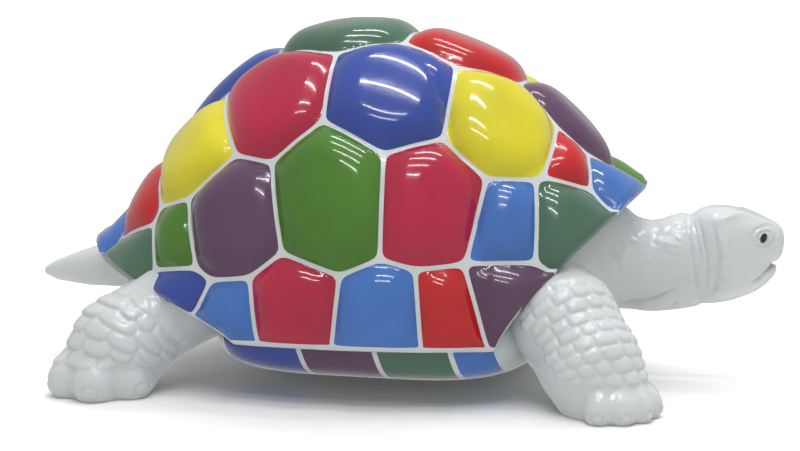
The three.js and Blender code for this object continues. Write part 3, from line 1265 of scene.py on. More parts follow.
@dataclass
class HeadAndNeck:
    """The outstretched neck and the head, drawn from the side and swelled to width.

    Attributes:
        outline: Corners of the side outline, in x and z, from the top of the neck round.
        half_widths: Half the width along the body, in x and y.
        depths: How deep the rounding runs in from the outline along the body.
        eye: Middle of an eye from the side.
        eye_half: Half the width and height of the painted pupil.
        lid: Half the width and height of the lids.
        lid_lift: How far the lids' middle lies over the eye's.
        lid_lean: How much the lids slant.
        lid_ridge: The rim of the lids.
        rings: The furrow inside the lids and the socket round them.
        eyeball: How far the eyeball stands out, and its reach in lid widths.
        cheek: Between which widths the side of the head begins.
        mouth_depth: Depth of the mouth's line.
        mouth_width: Its half width at the corner, and how much wider it is at the beak.
        worn: How high the ripples of the neck stand.
        ripple_fades: Where along the neck the ripples begin and end, each from none to full.
        ripple_foot: Over which heights they begin.
        ripple_pitch: How close they lie along the neck and up it, in radians a metre.
        wobble: How far they wander, in radians.
        grid: Spacing of the side map.
        map_x: What the side map covers along the body.
        map_z: What it covers in height.
        room: Where the neck and head lie: beyond this x, within this y and under this z.
        relief_room: The same for the creases, and over this z.
        squareness: Squareness of the neck's section, and how much more the head's has.
        squarer: Where along the body the head's section begins and ends.
        lids: The lower lid's share of the ridge, and what the upper lid has more.
        mouth_opens: Share of the mouth's line over which it deepens.
        eye_lean: How much the pupil slants.
        eye_side: No eye is painted nearer the midline than this.
    """

    outline: Table = (
        (0.190, 0.245), (0.300, 0.272), (0.345, 0.268), (0.367, 0.260), (0.385, 0.247),
        (0.409, 0.242), (0.430, 0.248), (0.452, 0.2545), (0.4635, 0.2520), (0.4755, 0.2605),
        (0.492, 0.2665), (0.5145, 0.2675), (0.532, 0.2650), (0.552, 0.2590), (0.576, 0.2505),
        (0.5925, 0.2420), (0.600, 0.232), (0.6024, 0.218), (0.6011, 0.203), (0.597, 0.1925),
        (0.590, 0.1845), (0.5865, 0.1825), (0.5925, 0.1780), (0.5895, 0.1660), (0.576, 0.1507),
        (0.558, 0.1386), (0.526, 0.1259), (0.500, 0.1204), (0.4836, 0.1185), (0.4763, 0.1142),
        (0.443, 0.1070), (0.407, 0.1034), (0.3845, 0.1053), (0.340, 0.1090), (0.250, 0.120),
        (0.190, 0.130),
    )
    half_widths: Table = (
        (0.190, 0.120), (0.300, 0.104), (0.345, 0.088), (0.380, 0.073), (0.410, 0.064),
        (0.450, 0.059), (0.480, 0.058), (0.510, 0.061), (0.540, 0.058), (0.565, 0.051),
        (0.585, 0.042), (0.610, 0.034),
    )
    depths: Table = ((0.30, 0.085), (0.40, 0.072), (0.54, 0.068), (0.60, 0.040))
    eye: tuple[float, float] = (0.5728, 0.2258)
    eye_half: tuple[float, float] = (0.0050, 0.0072)
    lid: tuple[float, float] = (0.0118, 0.0092)
    lid_lift: float = 0.0025
    lid_lean: float = 0.22
    lid_ridge: EyeRing = EyeRing(1.0, 0.24, 0.0025)
    rings: tuple[EyeRing, ...] = (EyeRing(0.80, 0.10, -0.0017), EyeRing(1.50, 0.26, -0.0021))
    eyeball: tuple[float, float] = (0.0026, 0.72)
    cheek: tuple[float, float] = (0.012, 0.030)
    mouth_depth: float = 0.0040
    mouth_width: tuple[float, float] = (0.0011, 0.0008)
    worn: float = 0.0009
    ripple_fades: Table = ((0.335, 0.375), (0.480, 0.455))
    ripple_foot: tuple[float, float] = (0.165, 0.190)
    ripple_pitch: tuple[float, float] = (260.0, 330.0)
    wobble: tuple[float, float] = (4.0, 3.0)
    grid: float = 0.0015
    map_x: tuple[float, float] = (0.15, 0.66)
    map_z: tuple[float, float] = (0.05, 0.34)
    room: Place = (0.16, 0.17, 0.33)
    relief_room: tuple[float, float, float, float] = (0.33, 0.12, 0.29, 0.09)
    squareness: tuple[float, float] = (2.25, 0.75)
    squarer: Table = ((0.47, 0.52), (0.600, 0.560))
    lids: tuple[float, float] = (0.7, 0.3)
    mouth_opens: float = 0.25
    eye_lean: float = 0.25
    eye_side: float = 0.02

    def side_map(self) -> tuple[Array, Array, Array]:
        """Draws the side outline and measures the distance to it on a grid.

        Returns:
            The grid's places along and up, and the signed distances, negative inside.
        """
        curve = smooth_curve(np.array(self.outline), STROKE_STEPS, closed=True)
        xs = np.arange(*self.map_x, self.grid)
        zs = np.arange(*self.map_z, self.grid)
        gx, gz = np.meshgrid(xs, zs, indexing="ij")
        spots = np.column_stack([gx.ravel(), gz.ravel()])
        loop = np.vstack([curve, curve[:1]])
        gap, _ = path_distance(spots, loop)
        inside = np.zeros(len(spots), bool)
        for (x0, z0), (x1, z1) in zip(loop[:-1], loop[1:]):
            if z0 == z1:
                continue
            crosses = (z0 > spots[:, 1]) != (z1 > spots[:, 1])
            inside ^= crosses & (spots[:, 0] < (x1 - x0) * (spots[:, 1] - z0) / (z1 - z0) + x0)
        signed = np.where(inside, -gap, gap).reshape(gx.shape)
        return xs, zs, signed

    def __post_init__(self) -> None:
        """Draws the side map once."""
        self.xs, self.zs, self.signed = self.side_map()

    def side_distance(self, x: Array, z: Array) -> Array:
        """Looks up the signed distance to the side outline.

        Args:
            x: Places along the body.
            z: Their heights.

        Returns:
            Distances in the side view, negative inside.
        """
        i = np.clip((x - self.xs[0]) / self.grid, 0, len(self.xs) - 1.001)
        k = np.clip((z - self.zs[0]) / self.grid, 0, len(self.zs) - 1.001)
        i0, k0 = i.astype(int), k.astype(int)
        across, up = i - i0, k - k0
        s = self.signed
        low = s[i0, k0] * (1 - across) + s[i0 + 1, k0] * across
        high = s[i0, k0 + 1] * (1 - across) + s[i0 + 1, k0 + 1] * across
        return low * (1 - up) + high * up

    def field(self, points: Array) -> Array:
        """Measures about how far points lie from the neck and head.

        Args:
            points: Where to measure.

        Returns:
            Distances, negative inside.
        """
        made = np.full(len(points), FAR)
        back, half, top = self.room
        near = (points[:, 0] > back) & (np.abs(points[:, 1]) < half) & (points[:, 2] < top)
        x, y, z = points[near].T
        width = np.interp(x, *np.array(self.half_widths).T)
        deep = np.interp(x, *np.array(self.depths).T)
        side = self.side_distance(x, z)
        q = np.clip(1 + side / deep, 0.0, None)
        neck, head = self.squareness
        n = neck + head * smoothstep(*self.squarer[0], x) * smoothstep(*self.squarer[1], x)
        radius = ((np.abs(y) / width) ** n + q**n) ** (1 / n)
        made[near] = (radius - 1) * np.minimum(width, deep)
        return made

    def relief(self, points: Array) -> Array:
        """Works out how far the eyes, mouth, brow and creases lift or sink the skin.

        Args:
            points: Places on the skin.

        Returns:
            The lift at each place.
        """
        rise = np.zeros(len(points))
        back, half, top, foot = self.relief_room
        near = np.flatnonzero((points[:, 0] > back) & (np.abs(points[:, 1]) < half)
                              & (points[:, 2] > foot) & (points[:, 2] < top))
        p = points[near]
        flat = p[:, [0, 2]]
        made = self.eye_relief(flat)
        for crease in CREASES:
            gap, share = path_distance(flat, crease.curve())
            made -= crease.lift * np.sqrt(fade(share, 4)) * np.exp(-((gap / crease.width) ** 2))
        for swell in SWELLS:
            gap, share = path_distance(flat, swell.curve())
            made += swell.lift * fade(share, 3) * np.exp(-((gap / swell.width) ** 2))
        made *= smoothstep(*self.cheek, np.abs(p[:, 1]))
        gap, share = path_distance(flat, smooth_curve(np.array(MOUTH), STROKE_STEPS))
        width = self.mouth_width[0] + self.mouth_width[1] * share
        opened = smoothstep(0.0, self.mouth_opens, share)
        made -= self.mouth_depth * opened * np.exp(-((gap / width) ** 2))
        rise[near] = made + self.neck_ripples(p)
        return rise

    def eye_relief(self, flat: Array) -> Array:
        """Works out the lift of an eye with its lids and socket.

        Args:
            flat: Places in the side view.

        Returns:
            The lift at each place.
        """
        off = (flat - self.eye - [0.0, self.lid_lift]) / self.lid
        off[:, 1] -= self.lid_lean * off[:, 0]
        reach = np.linalg.norm(off, axis=1)
        upper = self.lids[0] + self.lids[1] * smoothstep(-0.5, 0.5, off[:, 1])
        made = upper * self.lid_ridge.height(reach)
        for ring in self.rings:
            made += ring.height(reach)
        ball, ball_reach = self.eyeball
        return made + ball * np.clip(1 - (reach / ball_reach) ** 2, 0.0, None)

    def neck_ripples(self, points: Array) -> Array:
        """Works out the lift of the uneven ripples on the upper half of the neck.

        Args:
            points: Places on the neck.

        Returns:
            The lift at each place.
        """
        x, y, z = points.T
        begin, end = self.ripple_fades
        along = smoothstep(*begin, x) * smoothstep(*end, x)
        lengthwise = np.sin(self.ripple_pitch[0] * x + self.wobble[0] * np.sin(90 * z))
        upward = np.sin(self.ripple_pitch[1] * z + self.wobble[1] * np.sin(70 * x + 40 * y))
        ripple = np.clip(lengthwise * upward, 0.0, None)
        return self.worn * along * smoothstep(*self.ripple_foot, z) * ripple

    def pupil(self, points: Array) -> Array:
        """Measures how far places lie inside the dark of an eye, as painted.

        Args:
            points: Places on the skin.

        Returns:
            The depths, negative outside.
        """
        off = (points[:, [0, 2]] - self.eye) / self.eye_half
        lean = np.stack([off[:, 0] - self.eye_lean * off[:, 1], off[:, 1]], 1)
        depth = (1 - np.linalg.norm(lean, axis=1)) * min(self.eye_half)
        return np.where(np.abs(points[:, 1]) > self.eye_side, depth, -1.0)


@dataclass
class Tail:
    """The short pointed tail with faint rings of wrinkles.

    Attributes:
        joints: From the root to the tip: the middle in x and z, and the radius.
        wrinkle: How high the wrinkles stand.
        axis_height: The height that the wrinkles turn round.
        slant: How far a wrinkle runs forward for each metre up.
        wander: How far it strays from that.
        pitches: Distance from one wrinkle to the next, for the main and the finer set.
        finer: Height of the finer set, as a share of the main one.
        fades: Where the wrinkles begin and end along the tail, each from none to full.
        room: Where the tail lies: behind this x and within this y.
    """

    joints: tuple[tuple[tuple[float, float], float], ...] = (
        ((-0.330, 0.165), 0.066), ((-0.440, 0.150), 0.044), ((-0.520, 0.137), 0.031),
        ((-0.575, 0.130), 0.018), ((-0.5965, 0.128), 0.0085),
    )
    wrinkle: float = 0.00016
    axis_height: float = 0.14
    slant: float = 0.30
    wander: float = 0.0030
    pitches: tuple[float, float] = (0.0125, 0.0081)
    finer: float = 0.6
    fades: Table = ((-0.420, -0.465), (-0.575, -0.535))
    room: tuple[float, float] = (-0.25, 0.12)

    def field(self, points: Array) -> Array:
        """Measures the distance to the tail.

        Args:
            points: Where to measure.

        Returns:
            Distances, negative inside.
        """
        made = np.full(len(points), FAR)
        near = (points[:, 0] < self.room[0]) & (np.abs(points[:, 1]) < self.room[1])
        p = points[near]
        d = np.full(len(p), FAR)
        for ((x0, z0), r0), ((x1, z1), r1) in zip(self.joints[:-1], self.joints[1:]):
            d = np.minimum(d, round_cone(p, np.array([x0, 0, z0]), np.array([x1, 0, z1]), r0, r1))
        made[near] = d
        return made

    def relief(self, points: Array) -> Array:
        """Works out the lift of the faint, broken wrinkles that cross the tail.

        Args:
            points: Places on the skin.

        Returns:
            The lift at each place.
        """
        x, y, z = points.T
        over = z - self.axis_height
        round_turn = np.arctan2(y, over)
        lean = x + self.slant * over + self.wander * np.sin(2 * round_turn + 40 * x)
        main, finer = (2 * math.pi * lean / pitch for pitch in self.pitches)
        wave = np.sin(main) + self.finer * np.sin(finer + 1)
        broken = 0.5 + 0.5 * np.sin(3 * round_turn + 55 * x)
        begin, end = self.fades
        mask = smoothstep(*begin, x) * smoothstep(*end, x)
        return self.wrinkle * mask * broken * wave


@dataclass
class Torso:
    """The body under the shell, which the limbs grow out of."""

    middle: Place = (-0.018, 0.0, 0.165)
    half: Place = (0.385, 0.262, 0.118)

    def field(self, points: Array) -> Array:
        """Measures the distance to the torso, negative inside."""
        return ellipsoid(points, np.array(self.middle), np.array(self.half))


FRONT_JOINTS = (
    Joint((0.225, 0.118, 0.158), 0.076, 0.10),
    Joint((0.300, 0.192, 0.117), 0.072, 0.55),
    Joint((0.342, 0.234, 0.066), 0.067, 0.95),
)
HIND_JOINTS = (
    Joint((-0.200, 0.118, 0.152), 0.074, 0.10),
    Joint((-0.282, 0.214, 0.122), 0.067, 0.55),
    Joint((-0.342, 0.276, 0.068), 0.068, 0.95),
)
FRONT_SCALES = Scales(
    facing=48, half_turn=80, rows=9, height=0.0205, width=0.0300, uneven=0.22, shift=0.22,
    bow=0.0016, rise=0.0026, lap=0.0008, faint=1, shoulder=0.0058,
)
HIND_SCALES = Scales(
    facing=100, half_turn=92, rows=6, height=0.0255, width=0.0440, uneven=0.45, shift=0.50,
    bow=0.0050, rise=0.0014, lap=0.0036, faint=1,
)


def front_leg(side: int, stride: float) -> Leg:
    """Returns a front leg, set forward by its stride."""
    return Leg(
        side=side, stride=stride, joints=FRONT_JOINTS, foot=(0.366, 0.246),
        foot_half=(0.060, 0.056, 0.046), heading=33, spread=116, toes=5, toe_radius=0.0205,
        toe_reach=0.080, toe_height=0.022, nail=(0.0080, 0.0050, 0.0110), scales=FRONT_SCALES,
        toe_blend=0.0075,
    )


def hind_leg(side: int, stride: float) -> Leg:
    """Returns a hind leg, set forward by its stride."""
    return Leg(
        side=side, stride=stride, joints=HIND_JOINTS, foot=(-0.362, 0.290),
        foot_half=(0.066, 0.062, 0.050), heading=82, spread=112, toes=3, toe_radius=0.0330,
        toe_reach=0.086, toe_height=0.026, nail=(0.0115, 0.0090, 0.0150), scales=HIND_SCALES,
        ankle=0.050, toe_blend=0.0060,
    )


LEAST_STEEP = 0.04  # keeps a nearly level field from throwing a point far


@dataclass
class Skin:
    """All the white skin as one form: torso, legs, neck, head and tail.

    Attributes:
        cell: Spacing at which the skin is measured.
        triangles: How many triangles are left of it.
        fillets: Widths of the fillets at the neck, at the tail and at the legs.
        room: Lowest and highest corners of the room that it fills.
        legs: The four legs.
        head: The neck and head.
        tail: The tail.
        torso: The body under the shell.
    """

    cell: float = 0.0024
    triangles: int = 118_000
    fillets: tuple[float, float, float] = (0.035, 0.030, 0.040)
    room: Table = ((-0.64, -0.40, -0.012), (0.64, 0.40, 0.32))
    legs: tuple[Leg, ...] = (
        front_leg(RIGHT, 0.0), hind_leg(RIGHT, 0.0), front_leg(LEFT, -0.112), hind_leg(LEFT, 0.066),
    )
    head: HeadAndNeck = field(default_factory=HeadAndNeck)
    tail: Tail = field(default_factory=Tail)
    torso: Torso = field(default_factory=Torso)

    def field(self, points: Array) -> Array:
        """Measures about how far points lie from the smooth skin.

        Args:
            points: Where to measure.

        Returns:
            Distances, negative inside.
        """
        at_neck, at_tail, at_legs = self.fillets
        d = self.torso.field(points)
        d = blend(d, self.head.field(points), at_neck)
        d = blend(d, self.tail.field(points), at_tail)
        for leg in self.legs:
            d = blend(d, leg.field(points), at_legs)
        return np.maximum(d, -points[:, 2])

    def relief(self, points: Array) -> Array:
        """Works out how far the finer modelling lifts or sinks the skin.

        Args:
            points: Places on the skin.

        Returns:
            The lift at each place.
        """
        rise = self.head.relief(points) + self.tail.relief(points)
        for leg in self.legs:
            rise += leg.relief(points)
        return rise

    def slopes(self, points: Array) -> Array:
        """Works out how the field grows.

        Args:
            points: Where to look.

        Returns:
            The field's slope at each point.
        """
        step = 0.0008
        made = np.empty_like(points)
        for axis in range(3):
            shift = np.zeros(3)
            shift[axis] = step
            made[:, axis] = self.field(points + shift) - self.field(points - shift)
        return made / (2 * step)

    def form(self) -> Form:
        """Builds the skin with its relief.

        Returns:
            The skin, white but for the marks of the pupils.
        """
        low, high = np.array(self.room)
        cell = self.cell * 1.0
        points, faces = surface_of(self.field, low, high, cell)
        log.info("skin: %d points off the field", len(points))
        for _ in range(2):
            slope = self.slopes(points)
            steep = np.maximum((slope * slope).sum(axis=1), LEAST_STEEP)
            points = points - slope * (self.field(points) / steep)[:, None]
        directions = unit(self.slopes(points))
        points = points + directions * self.relief(points)[:, None]
        points[:, 2] = np.maximum(points[:, 2], 0.0)
        form = plain_form(points, faces)
        form.pupil = self.head.pupil(points)
        return form


def surface_of(measure: Callable[[Array], Array], low: Array, high: Array,
               cell: float) -> tuple[Array, Array]:
    """Meshes the places where a distance field is zero.

    Args:
        measure: The field, negative inside.
        low: Lowest corner of the room searched.
        high: Highest corner of the room searched.
        cell: Spacing of the samples.

    Returns:
        The mesh's points and triangles.
    """
    block = 8  # samples along a side of a block
    slack = 1.35  # for a field that isn't quite a distance
    band = 3 * cell
    counts = np.ceil((high - low) / (cell * block)).astype(int)
    spots = np.indices(counts).reshape(3, -1).T
    coarse = measure(low + (spots + 0.5) * block * cell)
    reach = 0.5 * math.sqrt(3) * block * cell * slack
    near = np.flatnonzero(np.abs(coarse) < reach)
    view_shape = (*counts, block, block, block)
    samples = np.broadcast_to(coarse.reshape(*counts, 1, 1, 1), view_shape).astype(np.float32)
    steps = (np.indices((block,) * 3).reshape(3, -1).T + 0.5) * cell
    chunk = 600  # blocks measured at a time
    for start in range(0, len(near), chunk):
        some = near[start:start + chunk]
        places = (low + spots[some, None, :] * block * cell + steps).reshape(-1, 3)
        values = measure(places).reshape(len(some), block, block, block)
        i, j, k = spots[some].T
        samples[i, j, k] = values
    grid = samples.transpose(0, 3, 1, 4, 2, 5).reshape(counts * block)
    grid = np.clip(grid, -band, band)
    volume = openvdb.FloatGrid(band)
    volume.copyFromArray(np.ascontiguousarray(grid))
    points, triangles, quads = volume.convertToPolygons(isovalue=0.0, adaptivity=0.0)
    faces = np.vstack([quads[:, [0, 1, 2]], quads[:, [0, 2, 3]], triangles]).astype(int)
    places = low + (points.astype(float) + 0.5) * cell
    return outward(places, faces)


def outward(points: Array, faces: Array) -> tuple[Array, Array]:
    """Turns the triangles over if the closed mesh is inside out.

    Args:
        points: Corners.
        faces: Triangles.

    Returns:
        The corners, and the triangles facing outwards.
    """
    a, b, c = (points[faces[:, k]] for k in range(3))
    if np.einsum("ij,ij->i", a, np.cross(b, c)).sum() < 0:
        faces = faces[:, ::-1]
    return points, faces


# ---------- putting the casting together ----------


def mesh_object(name: str, points: Array, faces: Array) -> bpy.types.Object:
    """Makes a mesh object in the scene.

    Args:
        name: Its name.
        points: Corners.
        faces: Triangles.

    Returns:
        The object.
    """
    mesh = bpy.data.meshes.new(name)
    mesh.vertices.add(len(points))
    mesh.vertices.foreach_set("co", points.astype(np.float32).ravel())
    mesh.loops.add(3 * len(faces))
    mesh.loops.foreach_set("vertex_index", faces.astype(np.int32).ravel())
    mesh.polygons.add(len(faces))
    mesh.polygons.foreach_set("loop_start", np.arange(0, 3 * len(faces), 3, dtype=np.int32))
    mesh.update(calc_edges=True)
    made = bpy.data.objects.new(name, mesh)
    bpy.context.collection.objects.link(made)
    return made


def read_mesh(made: bpy.types.Object) -> tuple[Array, Array]:
    """Reads back an object's mesh with its modifiers applied.

    Args:
        made: The object.

    Returns:
        Its corners and its triangles.
    """
    depsgraph = bpy.context.evaluated_depsgraph_get()
    done = made.evaluated_get(depsgraph)
    mesh = done.to_mesh()
    mesh.calc_loop_triangles()
    points = np.empty(3 * len(mesh.vertices), np.float32)
    mesh.vertices.foreach_get("co", points)
    faces = np.empty(3 * len(mesh.loop_triangles), np.int32)
    mesh.loop_triangles.foreach_get("vertices", faces)
    done.to_mesh_clear()
    return points.reshape(-1, 3).astype(float), faces.reshape(-1, 3).astype(int)


def drop(made: bpy.types.Object) -> None:
    """Removes a working object and its mesh.

    Args:
        made: The object.
    """
    mesh = made.data
    bpy.data.objects.remove(made)
    bpy.data.meshes.remove(mesh)


def thinned(form: Form, triangles: int) -> Form:
    """Thins a form's triangles, most where it is smooth.

    Args:
        form: The form to thin.
        triangles: How many to leave.

    Returns:
        The thinner form, with the smooth shading of the full one.
    """
    made = mesh_object("thin", form.points, form.faces)
    modifier = made.modifiers.new("thin", "DECIMATE")
    modifier.ratio = min(1.0, triangles / len(form.faces))
    points, faces = read_mesh(made)
    drop(made)
    tree = KDTree(len(form.points))
    for i, place in enumerate(form.points.tolist()):
        tree.insert(place, i)
    tree.balance()
    nearest = np.array([tree.find(place)[1] for place in points.tolist()])
    return Form(
        points=points,
        faces=faces,
        normals=form.normals[nearest],
        pupil=form.pupil[nearest],
        paint=np.zeros(len(faces), int),
    )


@dataclass
class Casting:
    """The whole sculpture as one closed piece: skin, belly plate and shell."""

    name: str = "turtle_casting"
    skin: Skin = field(default_factory=Skin)
    plastron: Plastron = field(default_factory=Plastron)
    carapace: Carapace = field(default_factory=Carapace)

    def fuse(self) -> bpy.types.Object:
        """Joins the forms into one closed mesh that keeps their paint and shading.

        Returns:
            The casting.
        """
        skin = self.skin.form()
        log.info("skin: %d triangles before thinning", len(skin.faces))
        forms = (
            thinned(skin, self.skin.triangles),
            self.plastron.form(),
            self.carapace.form(),
        )
        parts = [marked_object(f"part_{k}", form) for k, form in enumerate(forms)]
        for other in parts[1:]:
            modifier = parts[0].modifiers.new("join", "BOOLEAN")
            modifier.operation = "UNION"
            modifier.solver = "MANIFOLD"
            modifier.object = other
        depsgraph = bpy.context.evaluated_depsgraph_get()
        mesh = bpy.data.meshes.new_from_object(parts[0].evaluated_get(depsgraph))
        for part in parts:
            drop(part)
        mesh.name = self.name
        made = bpy.data.objects.new(self.name, mesh)
        bpy.context.collection.objects.link(made)
        paint_and_shade(mesh)
        mesh.calc_loop_triangles()
        log.info("casting: %d triangles", len(mesh.loop_triangles))
        return made


def marked_object(name: str, form: Form) -> bpy.types.Object:
    """Makes a form's mesh object, marked with its enamels, pupils and shading.

    Args:
        name: The object's name.
        form: The form.

    Returns:
        The object.
    """
    made = mesh_object(name, form.points, form.faces)
    corners = form.faces.ravel()
    marks = made.data.attributes
    marks.new("enamel", "INT", "FACE").data.foreach_set("value", form.paint.astype(np.int32))
    marks.new("pupil", "FLOAT", "CORNER").data.foreach_set("value", form.pupil[corners])
    marks.new("shade", "FLOAT_VECTOR", "CORNER").data.foreach_set(
        "vector", form.normals[corners].ravel())
    return made


def paint_and_shade(mesh: bpy.types.Mesh) -> None:
    """Turns the marks that came through the join into colours and smooth shading.

    Args:
        mesh: The joined mesh.
    """
    count = len(mesh.polygons)
    enamel = np.empty(count, np.int32)
    mesh.attributes["enamel"].data.foreach_get("value", enamel)
    corners = np.empty(count, np.int32)
    mesh.polygons.foreach_get("loop_total", corners)
    shade = np.empty(3 * len(mesh.loops), np.float32)
    mesh.attributes["shade"].data.foreach_get("vector", shade)
    colours = np.array([(*paint.value, float(paint is not Paint.WHITE)) for paint in PAINTS])
    rgba = np.repeat(colours[enamel], corners, axis=0)
    mesh.attributes.new("paint", "FLOAT_COLOR", "CORNER").data.foreach_set("color", rgba.ravel())
    for name in ("enamel", "shade"):
        mesh.attributes.remove(mesh.attributes[name])
    mesh.polygons.foreach_set("use_smooth", np.ones(count, bool))
    mesh.normals_split_custom_set(unit(shade.reshape(-1, 3).astype(float)))
    mesh.update()


# ---------- finishes ----------


@dataclass(frozen=True)
class GlossEnamel:
    """Hand-brushed gloss enamel: white skin and lines, coloured scutes, dark pupils.

    Attributes:
        pupil: The dark of an eye, as linear light.
        pupil_edge: Half the width of the pupil's soft edge.
        roughness: Least and most roughness of the enamel.
        mottle: Scale of the changes in roughness.
        span: The part of a noise that carries its change.
        dust_span: The same for the greying.
        ior: How strongly the enamel bends light.
        coat: Weight of the clear coat.
        coat_roughness: Its roughness.
        brush: Scale of the brushed tone, and how light and dark it goes.
        dust: The same of the faint greying of the white.
        wave: Scale, strength and height of the long waves in the enamel.
        peel: The same of its fine grain.
    """

    pupil: tuple[float, float, float] = (0.012, 0.014, 0.016)
    pupil_edge: float = 0.0004
    roughness: tuple[float, float] = (0.10, 0.20)
    mottle: float = 14.0
    span: tuple[float, float] = (0.3, 0.7)
    dust_span: tuple[float, float] = (0.35, 0.65)
    ior: float = 1.5
    coat: float = 0.6
    coat_roughness: float = 0.03
    brush: tuple[float, float, float] = (9.0, 0.86, 1.10)
    dust: tuple[float, float, float] = (3.0, 0.97, 1.0)
    wave: tuple[float, float, float] = (26.0, 0.30, 0.0012)
    peel: tuple[float, float, float] = (260.0, 0.05, 0.0004)

    def material(self) -> bpy.types.Material:
        """Builds the enamel's nodes.

        Returns:
            The material.
        """
        made = bpy.data.materials.new("gloss_enamel")
        made.use_nodes = True
        nodes = made.node_tree.nodes
        links = made.node_tree.links
        shader = nodes["Principled BSDF"]
        shader.inputs["IOR"].default_value = self.ior
        shader.inputs["Coat Weight"].default_value = self.coat
        shader.inputs["Coat Roughness"].default_value = self.coat_roughness

        def noise(scale: float, detail: float) -> bpy.types.NodeSocket:
            """Adds a noise on the object's own coordinates.

            Args:
                scale: How fine the noise is.
                detail: How many finer layers it has.

            Returns:
                The noise.
            """
            added = nodes.new("ShaderNodeTexNoise")
            added.inputs["Scale"].default_value = scale
            added.inputs["Detail"].default_value = detail
            links.new(coords.outputs["Object"], added.inputs["Vector"])
            return added.outputs["Fac"]

        def ranged(value: bpy.types.NodeSocket, low: float, high: float, to_low: float,
                   to_high: float) -> bpy.types.NodeSocket:
            """Maps a value from one range to another, clamped.

            Args:
                value: The value.
                low: Start of its range.
                high: End of its range.
                to_low: Start of the new range.
                to_high: End of the new range.

            Returns:
                The value in the new range.
            """
            added = nodes.new("ShaderNodeMapRange")
            for name, number in (("From Min", low), ("From Max", high),
                                 ("To Min", to_low), ("To Max", to_high)):
                added.inputs[name].default_value = number
            links.new(value, added.inputs["Value"])
            return added.outputs["Result"]

        def mixed(share: bpy.types.NodeSocket | None, a: object, b: object,
                  kind: str = "MIX") -> bpy.types.NodeSocket:
            """Mixes two colours.

            Args:
                share: How much of the second; None mixes in full.
                a: The first, a socket or a plain colour.
                b: The second, likewise.
                kind: How they mix.

            Returns:
                The mixed colour.
            """
            added = nodes.new("ShaderNodeMix")
            added.data_type = "RGBA"
            added.blend_type = kind
            if share is None:
                added.inputs["Factor"].default_value = 1.0
            else:
                links.new(share, added.inputs["Factor"])
            for socket, value in zip(added.inputs[6:8], (a, b)):
                if isinstance(value, bpy.types.NodeSocket):
                    links.new(value, socket)
                else:
                    socket.default_value = (*value, 1.0)
            return added.outputs[2]

        def grey(value: bpy.types.NodeSocket) -> bpy.types.NodeSocket:
            """Makes a grey of a value.

            Args:
                value: How light the grey is.

            Returns:
                The grey.
            """
            added = nodes.new("ShaderNodeCombineColor")
            for name in ("Red", "Green", "Blue"):
                links.new(value, added.inputs[name])
            return added.outputs["Color"]

        def bumped(waves: tuple[float, float, float],
                   under: bpy.types.NodeSocket | None = None) -> bpy.types.NodeSocket:
            """Bends the surface direction by a noise.

            Args:
                waves: The noise's scale, and the strength and height of the bumps.
                under: The direction bent already, if any.

            Returns:
                The bent direction.
            """
            scale, strength, height = waves
            added = nodes.new("ShaderNodeBump")
            added.inputs["Strength"].default_value = strength
            added.inputs["Distance"].default_value = height
            links.new(noise(scale, 2.0), added.inputs["Height"])
            if under is not None:
                links.new(under, added.inputs["Normal"])
            return added.outputs["Normal"]

        def mark(name: str) -> bpy.types.Node:
            """Adds a node that reads one of the mesh's marks.

            Args:
                name: The mark's name.

            Returns:
                The node.
            """
            added = nodes.new("ShaderNodeAttribute")
            added.attribute_name = name
            return added

        coords = nodes.new("ShaderNodeTexCoord")
        patch = mark("paint")
        brush = ranged(noise(self.brush[0], 4.0), *self.span, *self.brush[1:])
        dusty = ranged(noise(self.dust[0], 3.0), *self.dust_span, *self.dust[1:])
        coloured = mixed(None, patch.outputs["Color"], grey(brush), "MULTIPLY")
        white = mixed(None, grey(dusty), Paint.WHITE.value, "MULTIPLY")
        body = mixed(patch.outputs["Alpha"], white, coloured)
        edge = self.pupil_edge
        dark = ranged(mark("pupil").outputs["Fac"], -edge, edge, 0.0, 1.0)
        links.new(mixed(dark, body, self.pupil), shader.inputs["Base Color"])
        rough = ranged(noise(self.mottle, 3.0), *self.span, *self.roughness)
        links.new(rough, shader.inputs["Roughness"])
        links.new(bumped(self.peel, bumped(self.wave)), shader.inputs["Normal"])
        return made


@dataclass(frozen=True)
class PalePaper:
    """The plain pale paper of the studio floor."""

    colour: tuple[float, float, float] = (0.90, 0.90, 0.895)
    roughness: float = 0.7

    def material(self) -> bpy.types.Material:
        """Builds the paper's material.

        Returns:
            The material.
        """
        made = bpy.data.materials.new("pale_floor")
        made.use_nodes = True
        shader = made.node_tree.nodes["Principled BSDF"]
        shader.inputs["Base Color"].default_value = (*self.colour, 1.0)
        shader.inputs["Roughness"].default_value = self.roughness
        return made


# ---------- studio ----------


@dataclass(frozen=True)
class Lamp:
    """A soft rectangular lamp.

    Attributes:
        name: The lamp's name.
        place: Where it hangs.
        look: What it faces.
        size: Its length and width.
        power: Its power in watts.
        glossy: False keeps it out of the reflections in the gloss.
    """

    name: str
    place: Place
    look: Place
    size: tuple[float, float]
    power: float
    glossy: bool = True

    def hang(self) -> None:
        """Adds the lamp to the scene."""
        data = bpy.data.lights.new(self.name, "AREA")
        data.shape = "RECTANGLE"
        data.size, data.size_y = self.size
        data.energy = self.power
        made = bpy.data.objects.new(self.name, data)
        made.location = self.place
        ray = Vector(self.look) - Vector(self.place)
        made.rotation_euler = ray.to_track_quat("-Z", "Y").to_euler()
        made.visible_glossy = self.glossy
        bpy.context.collection.objects.link(made)


SOFT_LAMPS = (
    Lamp("soft_top", place=(0.2, -0.6, 3.2), look=(0.0, 0.0, 0.2), size=(3.0, 2.4), power=37.0,
         glossy=False),
    Lamp("backdrop_wash", place=(0.0, 2.6, 4.6), look=(0.0, 4.6, 0.6), size=(9.0, 2.0),
         power=330.0, glossy=False),
)


